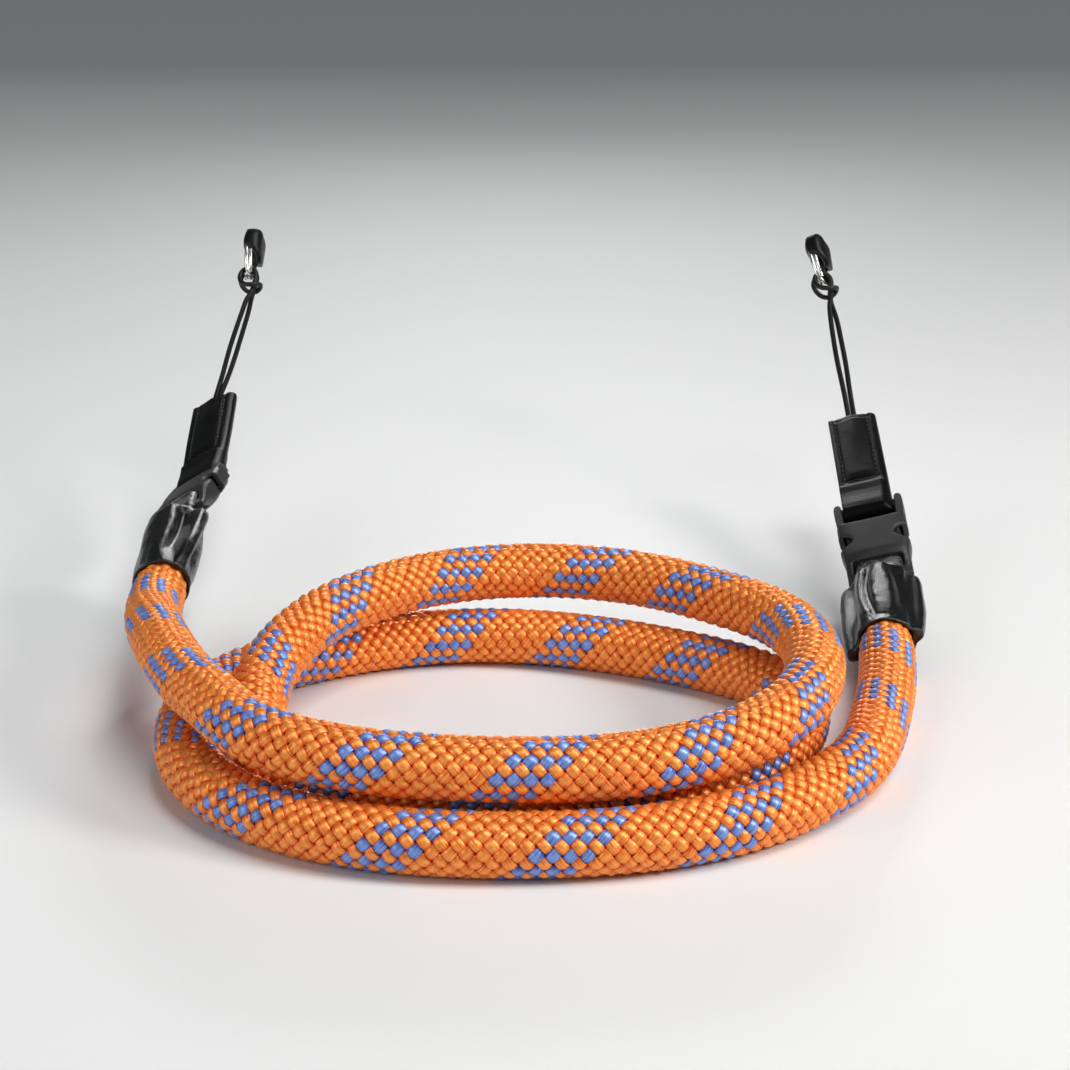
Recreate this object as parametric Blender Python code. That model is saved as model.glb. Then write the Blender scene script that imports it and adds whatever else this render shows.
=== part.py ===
"""A coiled braided camera strap: a thick round rope in two and a half turns, each end in a gathered
leather cap, a side release buckle, a folded leather tab and a thin cord hitched to a split ring.

Run it with: blender --background --python part.py
Lengths are in metres, +Z is up, +Y leads from the coil to the strap's two ends. The origin lies on the
surface that the coil rests on, at the middle of the strap's outline.
"""

import math

import bmesh
import bpy
import numpy as np
from mathutils import Matrix, Vector

MM = 0.001
GAP = 0.3 * MM

# The rope.
ROPE_DIAMETER = 10.0 * MM
ROPE_STEPS = 78
ROPE_SIDES = 12
ROPE_IN_CAP = 13.0 * MM
ROPE_PINCH = 0.84
ROPE_PINCH_RUN = 9.0 * MM

# The leather end caps. The strip is the narrow part that is folded round the buckle's bar.
CAP_TO_BAR = 26.5 * MM
CAP_WALL = 1.2 * MM
CAP_FLANGE_THICKNESS = 2.4 * MM
CAP_PLEATS = 10
CAP_PLEAT_DEPTH = 0.35 * MM
STRIP_LEATHER = 1.1 * MM

# The side release buckles.
BUCKLE_WIDTH = 13.4 * MM
BUCKLE_THICKNESS = 5.4 * MM
BUCKLE_BAR_LENGTHWISE = 2.2 * MM
BUCKLE_BAR_THICKNESS = 1.8 * MM
BUCKLE_WALL = 1.1 * MM
BUCKLE_EDGE = 0.9 * MM
SLOT_LENGTHWISE = 3.0 * MM
SLOT_SPARE = 0.4 * MM
SOCKET_CHEEK = 1.8 * MM
SOCKET_BODY = 12.3 * MM
SOCKET_MOUTH_DIP = 0.8 * MM
NOTCH_RADIUS = 2.6 * MM
NOTCH_SHARE = 0.52
PLUG_BASE = 1.6 * MM
PLUG_LIP = 0.9 * MM
PLUG_HORN = 2.8 * MM
PLUG_HORN_WIDTH = 1.1 * MM
PLUG_REACH = 10.0 * MM
PRONG_WIDTH = 2.0 * MM
PRONG_KEEL = 1.8 * MM

# The leather strip goes between the socket's cheeks, and the tab between the plug's horns.
STRIP_WIDTH = BUCKLE_WIDTH - 2 * (SOCKET_CHEEK + SLOT_SPARE)
TAB_WIDTH = BUCKLE_WIDTH - 2 * (GAP + PLUG_HORN_WIDTH + SLOT_SPARE)

# The folded leather tabs.
TAB_LENGTH = 33.5 * MM
TAB_THICKNESS = 2.8 * MM
TAB_LEATHER = 1.2 * MM
TAB_BULGE = 0.5 * MM
TAB_TAPER = 4.5 * MM
TAB_POCKET = 11.0 * MM

# The thin cords, the split rings and the covers on the rings.
LUG_CORD_DIAMETER = 1.1 * MM
LUG_CORD_STEPS = 44
LUG_CORD_SIDES = 8
LUG_CORD_IN_TAB = 9.0 * MM
RING_LENGTH = 13.0 * MM
RING_WIDTH = 7.4 * MM
RING_WIRE = 0.95 * MM
RING_SIDES = 8
RING_STEPS = 36
COVER_LENGTH = 4.6 * MM
COVER_LEATHER = 1.0 * MM
COVER_SPARE = 0.3 * MM
COVER_BRIDGE = 2.4 * MM

# The rope's route from the left cap's mouth to the right one's, along its middle, in millimetres, and where
# the middle of the finished strap's outline, on the ground, lies in that route's coordinates.
ROPE_ROUTE = [
    (-67.1, -19.3, 13.5), (-67.1, -25.9, 12.5), (-65.9, -36.5, 13.2), (-63.4, -47.6, 14.8), (-61, -55.8, 15.7),
    (-57, -66.3, 15.9), (-52.9, -74.8, 15.9), (-49.4, -80.7, 16), (-44.6, -88, 15.6), (-37, -95, 15.2),
    (-27, -99.2, 14.8), (-14, -101.4, 14.4),
    (0, -101.8, 14.2), (13, -100.2, 14.2), (24, -96.3, 14.6), (33.5, -89.8, 15.3), (40.6, -80, 15.7),
    (44.6, -67, 15.7), (44.6, -54, 15.7), (40.5, -42.6, 15.7), (32, -33, 15.7), (21, -24.5, 15.7),
    (8, -19.5, 15.7), (-6, -19.2, 15.7), (-18.5, -23.6, 15.7), (-29.5, -31.8, 15.4), (-38.5, -42, 13.9),
    (-43.6, -53, 11.2), (-44.9, -65, 8.2), (-42.6, -76, 5.9), (-36.2, -85.3, 5), (-27, -91.4, 5),
    (-14, -95.5, 5), (0, -96.4, 5), (13, -94.3, 5), (24, -89.4, 5), (33.5, -81.7, 5), (40.3, -71.2, 5),
    (43.4, -60, 5), (42, -50, 5), (36.5, -42, 5), (28, -35.8, 5), (16, -29.4, 5), (2, -24.7, 5),
    (-12, -23.5, 5), (-26, -26.4, 5), (-39, -33, 5), (-50, -43, 5), (-55.6, -55, 5), (-56.3, -68, 5),
    (-53, -80.8, 5), (-46, -91.8, 5), (-35.6, -100.1, 5), (-22, -105.4, 5), (-8, -107.3, 5), (6, -107, 5),
    (19, -104.4, 5), (31, -99, 5), (42, -90, 5), (50.4, -78.6, 5), (53.8, -70.5, 5), (56.7, -60.1, 5),
    (59.1, -49.6, 5.05), (61.0, -37.8, 5.6), (61.9, -29.9, 6.4),
]

ROUTE_MIDDLE = Vector((-0.87, -0.61, 0.16)) * MM

# How each end lies: the compass heading from +Y towards +X, the slope and the roll of each stretch, in
# degrees, and in millimetres how far the cap's flanges stand out and the thin cord reaches from the tab.
END_POSES = {
    "left": {
        "flange": 0.8,
        "cap": (-1.5, 8.6, 48.0),
        "buckle": (4.0, 0.9, 33.0),
        "tab": (-2.4, 12.6, 27.0),
        "ring": (3.2, 45.9, 0.0),
        "reach": (2.8, 39.8, 18.8),
    },
    "right": {
        "flange": 1.8,
        "cap": (6.2, 5.8, 14.0),
        "buckle": (1.1, 16.9, 16.0),
        "tab": (1.1, 16.0, 15.0),
        "ring": (-7.5, 39.4, 0.0),
        "reach": (-2.3, 38.7, 20.9),
    },
}

# A cap's sections from its mouth to the buckle's bar. Places are shares of CAP_TO_BAR. The round share
# goes from the flat strip, 0, to the round mouth, 1, and the others are shares of the flange and pleats.
CAP_SECTIONS = [
    {"place": -0.04, "round": 1.04, "flange": 0.30, "pleat": 0.2},
    {"place": 0.06, "round": 1.04, "flange": 0.75, "pleat": 0.6},
    {"place": 0.25, "round": 1.05, "flange": 1.00, "pleat": 1.0},
    {"place": 0.50, "round": 1.04, "flange": 1.00, "pleat": 1.0},
    {"place": 0.70, "round": 0.98, "flange": 0.80, "pleat": 1.0},
    {"place": 0.84, "round": 0.80, "flange": 0.40, "pleat": 0.8},
    {"place": 0.91, "round": 0.35, "flange": 0.05, "pleat": 0.3},
]


def clear_scene():
    for item in list(bpy.data.objects):
        bpy.data.objects.remove(item)


def make_material(name, colour, roughness, metallic):
    material = bpy.data.materials.new(name)
    material.use_nodes = True
    shader = material.node_tree.nodes["Principled BSDF"]
    shader.inputs["Base Color"].default_value = (*colour, 1)
    shader.inputs["Roughness"].default_value = roughness
    shader.inputs["Metallic"].default_value = metallic
    material.diffuse_color = (*colour, 1)
    return material


def add_object(name, mesh, place, material, parent):
    item = bpy.data.objects.new(name, mesh)
    bpy.context.collection.objects.link(item)
    item.parent = parent
    item.matrix_world = place
    if material:
        mesh.materials.append(material)
    return item


def mesh_from(name, build):
    """A mesh made by build(bm), with its faces pointing out."""
    mesh = bpy.data.meshes.new(name)
    bm = bmesh.new()
    build(bm)
    bmesh.ops.recalc_face_normals(bm, faces=bm.faces)
    bm.to_mesh(mesh)
    bm.free()
    mesh.shade_smooth()
    mesh.set_sharp_from_angle(angle=math.radians(35))
    return mesh


def loft(bm, rings):
    """Closed solid through rings of equal numbers of points, with flat ends."""
    rows = [[bm.verts.new(point) for point in ring] for ring in rings]
    for low, high in zip(rows, rows[1:]):
        for i in range(len(low)):
            j = (i + 1) % len(low)
            bm.faces.new((low[i], low[j], high[j], high[i]))
    bm.faces.new(rows[0][::-1])
    bm.faces.new(rows[-1])


def block(bm, low, high):
    """An upright box between two corners."""
    corners = [(x, y) for x, y in ((low[0], low[1]), (high[0], low[1]), (high[0], high[1]), (low[0], high[1]))]
    loft(bm, [[(x, y, z) for x, y in corners] for z in (low[2], high[2])])


def cut(item, cutter, name):
    """Takes cutter away from item, and keeps it out of the render."""
    cutter.hide_render = True
    cutter.display_type = "WIRE"
    modifier = item.modifiers.new(name, "BOOLEAN")
    modifier.operation = "DIFFERENCE"
    modifier.object = cutter
    modifier.solver = "EXACT"


def frame_at(point, pose):
    """A frame whose Y runs along the strap, at a heading and slope, rolled about it so that +X rises."""
    heading, slope, roll = (math.radians(angle) for angle in pose)
    turn = Matrix.Rotation(-heading, 4, "Z") @ Matrix.Rotation(slope, 4, "X") @ Matrix.Rotation(-roll, 4, "Y")
    return Matrix.Translation(point) @ turn


def smooth_curve(points, count):
    """Evenly spaced points on the natural cubic spline through points."""
    points = np.array(points, float)
    spans = np.linalg.norm(np.diff(points, axis=0), axis=1)
    knots = np.concatenate([[0], np.cumsum(spans)])
    size = len(points)
    system = np.eye(size)
    target = np.zeros((size, 3))
    for i in range(1, size - 1):
        system[i, i - 1 : i + 2] = spans[i - 1], 2 * (spans[i - 1] + spans[i]), spans[i]
        target[i] = 6 * ((points[i + 1] - points[i]) / spans[i] - (points[i] - points[i - 1]) / spans[i - 1])
    bends = np.linalg.solve(system, target)
    fine = np.linspace(0, knots[-1], 40 * size)
    span = np.clip(np.searchsorted(knots, fine, side="right") - 1, 0, size - 2)
    width = spans[span][:, None]
    before = (knots[span + 1] - fine)[:, None]
    after = (fine - knots[span])[:, None]
    curve = (bends[span] * before**3 + bends[span + 1] * after**3) / (6 * width)
    curve += (points[span] / width - bends[span] * width / 6) * before
    curve += (points[span + 1] / width - bends[span + 1] * width / 6) * after
    length = np.concatenate([[0], np.cumsum(np.linalg.norm(np.diff(curve, axis=0), axis=1))])
    even = np.linspace(0, length[-1], count)
    return [Vector([np.interp(at, length, curve[:, axis]) for axis in range(3)]) for at in even]


def tube(name, points, diameter, sides, material, shares=None):
    """A round cord through points, as a curve with a bevel and filled caps. Shares thin it point by point."""
    curve = bpy.data.curves.new(name, "CURVE")
    curve.dimensions = "3D"
    curve.bevel_depth = diameter / 2
    curve.bevel_resolution = sides // 2 - 2
    curve.use_fill_caps = True
    spline = curve.splines.new("POLY")
    spline.points.add(len(points) - 1)
    for place, point, share in zip(spline.points, points, shares or [1] * len(points)):
        place.co = (*point, 1)
        place.radius = share
    spline.use_smooth = True
    curve.materials.append(material)
    item = bpy.data.objects.new(name, curve)
    bpy.context.collection.objects.link(item)
    return item


def cap_section(share, flange, pleat_share, place):
    """One section of a cap: a round or flattened body with pleats, and a flange at each side seam."""
    mouth = ROPE_PINCH * ROPE_DIAMETER / 2 + GAP + CAP_WALL
    strip_half = BUCKLE_BAR_THICKNESS / 2 + GAP + STRIP_LEATHER
    half_width = STRIP_WIDTH / 2 + (mouth - STRIP_WIDTH / 2) * share
    half_depth = strip_half + (mouth - strip_half) * share
    half_edge = min(CAP_FLANGE_THICKNESS / 2, half_depth * 0.7)
    start = math.asin(half_edge / half_depth)
    steps = 2 * CAP_PLEATS
    ring = []
    for side in (0, math.pi):
        for i in range(steps + 1):
            turn = i / steps
            angle = side + start + (math.pi - 2 * start) * turn
            pleat = CAP_PLEAT_DEPTH * pleat_share * math.cos(math.pi * CAP_PLEATS * turn)
            x = (half_width + pleat) * math.cos(angle)
            z = (half_depth + pleat) * math.sin(angle)
            ring.append((x, place, z))
        out = -1 if side == 0 else 1
        reach = out * (half_width * math.cos(start) + flange * MM + 0.2 * MM)
        ring.append((reach, place, -out * half_edge * 0.8))
        ring.append((reach, place, out * half_edge * 0.8))
    return ring


def build_cap(flange, twist):
    """A cap from its mouth to its fold round the buckle's bar, twisted by an angle between the two."""
    bar_half = BUCKLE_BAR_LENGTHWISE / 2 + GAP

    def build(bm):
        rings = []
        for row in CAP_SECTIONS:
            place = row["place"] * CAP_TO_BAR
            rings.append(cap_section(row["round"], row["flange"] * flange, row["pleat"], place))
        rings.append(cap_section(0, 0, 0, CAP_TO_BAR - bar_half))
        rings.append(cap_section(0, 0, 0, CAP_TO_BAR + bar_half * 0.5))
        for angle in (30, 60):
            turn = math.radians(angle)
            ring = cap_section(0, 0, 0, CAP_TO_BAR + bar_half + STRIP_LEATHER * math.sin(turn))
            rings.append([(x, y, z * math.cos(turn * 0.85)) for x, y, z in ring])
        twisted = []
        for ring in rings:
            share = min(max(ring[0][1] / (CAP_TO_BAR - bar_half), 0), 1)
            turn = Matrix.Rotation(-twist * share * share * (3 - 2 * share), 3, "Y")
            twisted.append([turn @ Vector(point) for point in ring])
        loft(bm, twisted)

    return build


def build_cavity(bm):
    """The rope's bore in a cap, from outside the mouth to just past the rope's end."""
    sides = 24
    angles = [2 * math.pi * i / sides for i in range(sides)]
    inner = ROPE_PINCH * ROPE_DIAMETER / 2 + GAP
    outer = ROPE_DIAMETER / 2 + GAP
    depth = ROPE_IN_CAP - ROPE_PINCH_RUN
    rings = []
    for place, radius in ((depth - ROPE_PINCH_RUN, outer), (depth, inner), (ROPE_IN_CAP + GAP, inner)):
        rings.append([(radius * math.cos(a), place, radius * math.sin(a)) for a in angles])
    loft(bm, rings)


def build_bar_room(width):
    """The room for a buckle's bar inside a leather loop."""

    def build(bm):
        x = width
        y = BUCKLE_BAR_LENGTHWISE / 2 + GAP
        z = BUCKLE_BAR_THICKNESS / 2 + GAP
        block(bm, (-x, -y, -z), (x, y, z))

    return build


def build_socket(bm):
    """The socket's outer block, from behind its bar to its mouth, a little narrower at the bar."""
    back = -BUCKLE_BAR_LENGTHWISE / 2
    front = BUCKLE_BAR_LENGTHWISE / 2 + SLOT_LENGTHWISE + SOCKET_BODY
    half = BUCKLE_WIDTH / 2
    deep = BUCKLE_THICKNESS / 2
    thin = BUCKLE_BAR_THICKNESS / 2
    stations = [
        (back, 0.93 * half, thin),
        (-back, 0.95 * half, thin),
        (-back + SLOT_LENGTHWISE * 0.8, 0.96 * half, thin + 0.35 * (deep - thin)),
        (-back + SLOT_LENGTHWISE + SOCKET_BODY * 0.18, 0.97 * half, deep),
        (front - SOCKET_BODY * 0.25, half, deep),
        (front, half, deep),
    ]
    rings = []
    for y, x, z in stations:
        edge = min(BUCKLE_EDGE, 0.45 * z)
        outline = [
            (x, -z + edge), (x, z - edge), (x - edge, z), (-x + edge, z),
            (-x, z - edge), (-x, -z + edge), (-x + edge, -z), (x - edge, -z),
        ]
        rings.append([(across, y, up) for across, up in outline])
    loft(bm, rings)


def build_slot(bm):
    """The slot beside the bar, which the leather strip goes through."""
    x = STRIP_WIDTH / 2 + SLOT_SPARE
    y = BUCKLE_BAR_LENGTHWISE / 2
    block(bm, (-x, y, -BUCKLE_THICKNESS), (x, y + SLOT_LENGTHWISE, BUCKLE_THICKNESS))


def build_socket_room(bm):
    """The socket's hollow, open at the mouth."""
    front = BUCKLE_BAR_LENGTHWISE / 2 + SLOT_LENGTHWISE + SOCKET_BODY
    x = BUCKLE_WIDTH / 2 - BUCKLE_WALL
    z = BUCKLE_THICKNESS / 2 - BUCKLE_WALL
    depth = PLUG_REACH + 2 * GAP
    block(bm, (-x, front - depth, -z), (x, front + BUCKLE_WALL, z))


def build_notch(bm):
    """The round bites in both sides, where the plug's buttons are pressed."""
    front = BUCKLE_BAR_LENGTHWISE / 2 + SLOT_LENGTHWISE + SOCKET_BODY
    sides = 20
    for side in (-1, 1):
        middle = (side * BUCKLE_WIDTH / 2, front - SOCKET_BODY * NOTCH_SHARE)
        rings = []
        for z in (-BUCKLE_THICKNESS, BUCKLE_THICKNESS):
            ring = []
            for i in range(sides):
                angle = 2 * math.pi * (i + 0.5) / sides
                x = middle[0] + 0.9 * NOTCH_RADIUS * math.cos(angle)
                ring.append((x, middle[1] + NOTCH_RADIUS * math.sin(angle), z))
            rings.append(ring)
        loft(bm, rings)


def build_mouth_dip(bm):
    """The shallow hollow of the socket's front edge."""
    front = BUCKLE_BAR_LENGTHWISE / 2 + SLOT_LENGTHWISE + SOCKET_BODY
    half = BUCKLE_WIDTH / 2 - BUCKLE_WALL
    radius = (half**2 + SOCKET_MOUTH_DIP**2) / (2 * SOCKET_MOUTH_DIP)
    span = math.asin(half / radius)
    steps = 8
    arc = []
    for i in range(steps + 1):
        angle = -span + 2 * span * i / steps
        arc.append((radius * math.sin(angle), front + radius - SOCKET_MOUTH_DIP - radius * math.cos(angle)))
    outline = arc + [(half, front + BUCKLE_WALL), (-half, front + BUCKLE_WALL)]
    loft(bm, [[(x, y, z) for x, y in outline] for z in (-BUCKLE_THICKNESS, BUCKLE_THICKNESS)])


def build_plug(bm):
    """The plug as one plate: horns, base and three prongs. Its Y starts at its bar."""
    half = BUCKLE_WIDTH / 2 - GAP
    inside = TAB_WIDTH / 2 + SLOT_SPARE
    room = BUCKLE_WIDTH / 2 - BUCKLE_WALL - GAP
    lip = -BUCKLE_BAR_LENGTHWISE / 2 - SLOT_LENGTHWISE - PLUG_LIP
    base = lip - PLUG_BASE
    tip = lip - PLUG_REACH
    thick = BUCKLE_THICKNESS / 2 - BUCKLE_WALL - GAP
    button = 0.5 * (base + tip)
    arm = room - PRONG_WIDTH
    side = [
        (inside, BUCKLE_BAR_LENGTHWISE / 2), (inside, PLUG_HORN * 0.5), (inside + 0.2 * MM, PLUG_HORN),
        (half - 0.4 * MM, PLUG_HORN), (half, PLUG_HORN * 0.5), (half, lip), (room, lip),
        (room, button), (room, tip + 1.2 * MM), (room - 1.2 * MM, tip), (arm, tip + 0.8 * MM), (arm, base),
        (PRONG_KEEL / 2, base), (PRONG_KEEL / 2, tip + 1.0 * MM),
    ]
    outline = side + [(-x, y) for x, y in reversed(side)]
    loft(bm, [[(x, y, z) for x, y in outline] for z in (-thick, thick)])


def build_plug_window(bm):
    """The slot between the plug's bar and base, which the tab is folded through."""
    x = TAB_WIDTH / 2 + SLOT_SPARE
    y = -BUCKLE_BAR_LENGTHWISE / 2
    block(bm, (-x, y - SLOT_LENGTHWISE, -BUCKLE_THICKNESS), (x, y, BUCKLE_THICKNESS))


def build_bar_waist(bm):
    """What is shaved off the plug's plate above and below its bar, so that the tab's fold fits round it."""
    x = TAB_WIDTH / 2 + SLOT_SPARE
    y = BUCKLE_BAR_LENGTHWISE
    for side in (-1, 1):
        near, far = sorted((side * BUCKLE_BAR_THICKNESS / 2, side * BUCKLE_THICKNESS))
        block(bm, (-x, -y, near), (x, y, far))


def tab_section(half_depth, place, bulge):
    """One section of a tab: flat, with a round fold at +X, a square edge at -X and a low crown."""
    half = TAB_WIDTH / 2
    fold = half_depth * 0.9
    ring = []
    for i in range(5):
        angle = math.radians(-90 + 45 * i)
        ring.append((half - fold + fold * math.cos(angle), place, half_depth * math.sin(angle)))
    for x in (0.35, 0.0, -0.35):
        ring.append((x * half, place, half_depth + bulge * (1 - abs(x) / 0.7)))
    ring.append((-half + 0.3 * MM, place, half_depth))
    ring.append((-half, place, half_depth - 0.3 * MM))
    ring.append((-half, place, -half_depth + 0.3 * MM))
    ring.append((-half + 0.3 * MM, place, -half_depth))
    return ring


def build_tab(twist):
    """A tab from the fold under the plug's bar to its square top end, twisted by an angle at the bar."""
    loop = BUCKLE_BAR_THICKNESS / 2 + GAP + TAB_LEATHER
    below = BUCKLE_BAR_LENGTHWISE / 2 + GAP
    flat = TAB_THICKNESS / 2
    twisted = 0.6 * TAB_LENGTH
    stations = [
        (loop * 0.55, -below - TAB_LEATHER, 0),
        (loop * 0.88, -below - TAB_LEATHER * 0.65, 0),
        (loop, -below * 0.5, 0),
        (loop, below, 0),
        (flat + (loop - flat) * 0.35, below + TAB_TAPER * 0.5, 0),
        (flat, below + TAB_TAPER, 0),
        (flat, twisted * 0.7, TAB_BULGE * 0.2),
        (flat, TAB_LENGTH - TAB_POCKET, TAB_BULGE * 0.5),
        (flat, TAB_LENGTH - TAB_POCKET * 0.5, TAB_BULGE),
        (flat, TAB_LENGTH, TAB_BULGE),
    ]

    def build(bm):
        rings = []
        for depth, place, bulge in stations:
            share = min(max((place - PLUG_HORN) / (twisted - PLUG_HORN), 0), 1)
            turn = Matrix.Rotation(-twist * (1 - share * share * (3 - 2 * share)), 3, "Y")
            rings.append([turn @ Vector(point) for point in tab_section(depth, place, bulge)])
        loft(bm, rings)

    return build


def build_pocket(bm):
    """The pocket between a tab's two leaves, for the ends of the thin cord."""
    x = LUG_CORD_DIAMETER * 1.1 + 2 * GAP
    z = LUG_CORD_DIAMETER / 2 + GAP
    block(bm, (-x, TAB_LENGTH - TAB_POCKET, -z), (x, TAB_LENGTH + TAB_LEATHER, z))


def ring_outline(steps):
    """Points round a split ring's wire in its own plane, pear shaped, from the hitched end."""
    half_long = (RING_LENGTH - RING_WIRE) / 2
    half_wide = (RING_WIDTH - RING_WIRE) / 2
    points = []
    for i in range(steps):
        angle = 2 * math.pi * i / steps
        along = half_long * (1 - math.cos(angle))
        wide = half_wide * math.sin(angle) * (1 - 0.18 * math.cos(angle))
        points.append((along, wide))
    return points


def build_ring(bm):
    """A split ring's two turns of wire side by side, as one band that is twice as wide as it is thick."""
    outline = ring_outline(RING_STEPS)
    profile = []
    for i in range(RING_SIDES):
        angle = 2 * math.pi * (i + 0.5) / RING_SIDES
        side = RING_WIRE / 2 if math.cos(angle) > 0 else -RING_WIRE / 2
        profile.append((side + RING_WIRE / 2 * math.cos(angle), RING_WIRE / 2 * math.sin(angle)))
    rows = []
    for i, (along, wide) in enumerate(outline):
        before = Vector(outline[i - 1])
        after = Vector(outline[(i + 1) % RING_STEPS])
        run = (after - before).normalized()
        row = []
        for across, out in profile:
            row.append(bm.verts.new((across, along + out * run.y, wide - out * run.x)))
        rows.append(row)
    for i, row in enumerate(rows):
        other = rows[(i + 1) % RING_STEPS]
        for j in range(RING_SIDES):
            k = (j + 1) % RING_SIDES
            bm.faces.new((row[j], row[k], other[k], other[j]))


def build_cover(bm):
    """The cover's block over a ring's far end, rounded where it is folded."""
    half_wide = RING_WIRE + COVER_SPARE + COVER_LEATHER
    half_deep = RING_WIDTH / 2 + COVER_SPARE
    end = RING_LENGTH - 1.5 * RING_WIRE - GAP
    start = end - COVER_LENGTH
    stations = [(start, 0.86), (start + 0.2 * COVER_LENGTH, 0.96), (end - 0.3 * COVER_LENGTH, 1.0), (end, 0.8)]
    rings = []
    for y, share in stations:
        x = half_wide * (0.5 + 0.5 * share)
        z = half_deep * share
        edge = 0.35 * x
        outline = [
            (x, -z + edge), (x, z - edge), (x - edge, z), (-x + edge, z),
            (-x, z - edge), (-x, -z + edge), (-x + edge, -z), (x - edge, -z),
        ]
        rings.append([(across, y, up) for across, up in outline])
    loft(bm, rings)


def build_cover_room(bm):
    """The gap between the cover's leaves and, past the fold's bridge, the two slits for the ring's wire."""
    across = RING_WIRE + COVER_SPARE
    end = RING_LENGTH - 1.5 * RING_WIRE - GAP
    start = end - COVER_LENGTH
    bridge = COVER_BRIDGE / 2
    outline = [
        (start - COVER_LEATHER, -RING_WIDTH), (end + COVER_LEATHER, -RING_WIDTH), (end + COVER_LEATHER, -bridge),
        (end - COVER_LEATHER, -bridge), (end - COVER_LEATHER, bridge), (end + COVER_LEATHER, bridge),
        (end + COVER_LEATHER, RING_WIDTH), (start - COVER_LEATHER, RING_WIDTH),
    ]
    loft(bm, [[(x, y, z) for y, z in outline] for x in (-across, across)])


def lug_cord_points(tab, ring):
    """The thin loop from the tab's pocket, up through the ring, round its wire and back."""
    side = LUG_CORD_DIAMETER / 2 + GAP
    turn = RING_WIRE + GAP + LUG_CORD_DIAMETER / 2
    rise = RING_WIRE / 2 + GAP + LUG_CORD_DIAMETER / 2
    up = []
    for place in (TAB_LENGTH - LUG_CORD_IN_TAB, TAB_LENGTH - LUG_CORD_IN_TAB * 0.4, TAB_LENGTH + 1.5 * MM):
        up.append(tab @ Vector((-side, place, 0)))
    leave = tab @ Vector((0, TAB_LENGTH, 0))
    wire = ring @ Vector((0, RING_WIRE / 2, 0))
    across = (ring.to_3x3() @ Vector((1, 0, 0))).normalized()
    for share, spread in ((0.3, 1.25), (0.6, 1.5), (0.85, 1.8)):
        up.append(leave.lerp(wire, share) - across * side * spread)
    up.append(ring @ Vector((-turn, -rise, 0)))
    up.append(ring @ Vector((-turn * 0.98, RING_WIRE / 2, 0)))
    up.append(ring @ Vector((-turn * 0.6, RING_WIRE / 2 + rise * 0.86, 0)))
    top = ring @ Vector((0, RING_WIRE / 2 + rise, 0))
    mirror = []
    for place in (TAB_LENGTH - LUG_CORD_IN_TAB, TAB_LENGTH - LUG_CORD_IN_TAB * 0.4, TAB_LENGTH + 1.5 * MM):
        mirror.append(tab @ Vector((side, place, 0)))
    for share, spread in ((0.3, 1.25), (0.6, 1.5), (0.85, 1.8)):
        mirror.append(leave.lerp(wire, share) + across * side * spread)
    mirror.append(ring @ Vector((turn, -rise, 0)))
    mirror.append(ring @ Vector((turn * 0.98, RING_WIRE / 2, 0)))
    mirror.append(ring @ Vector((turn * 0.6, RING_WIRE / 2 + rise * 0.86, 0)))
    return up + [top] + mirror[::-1]


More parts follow.
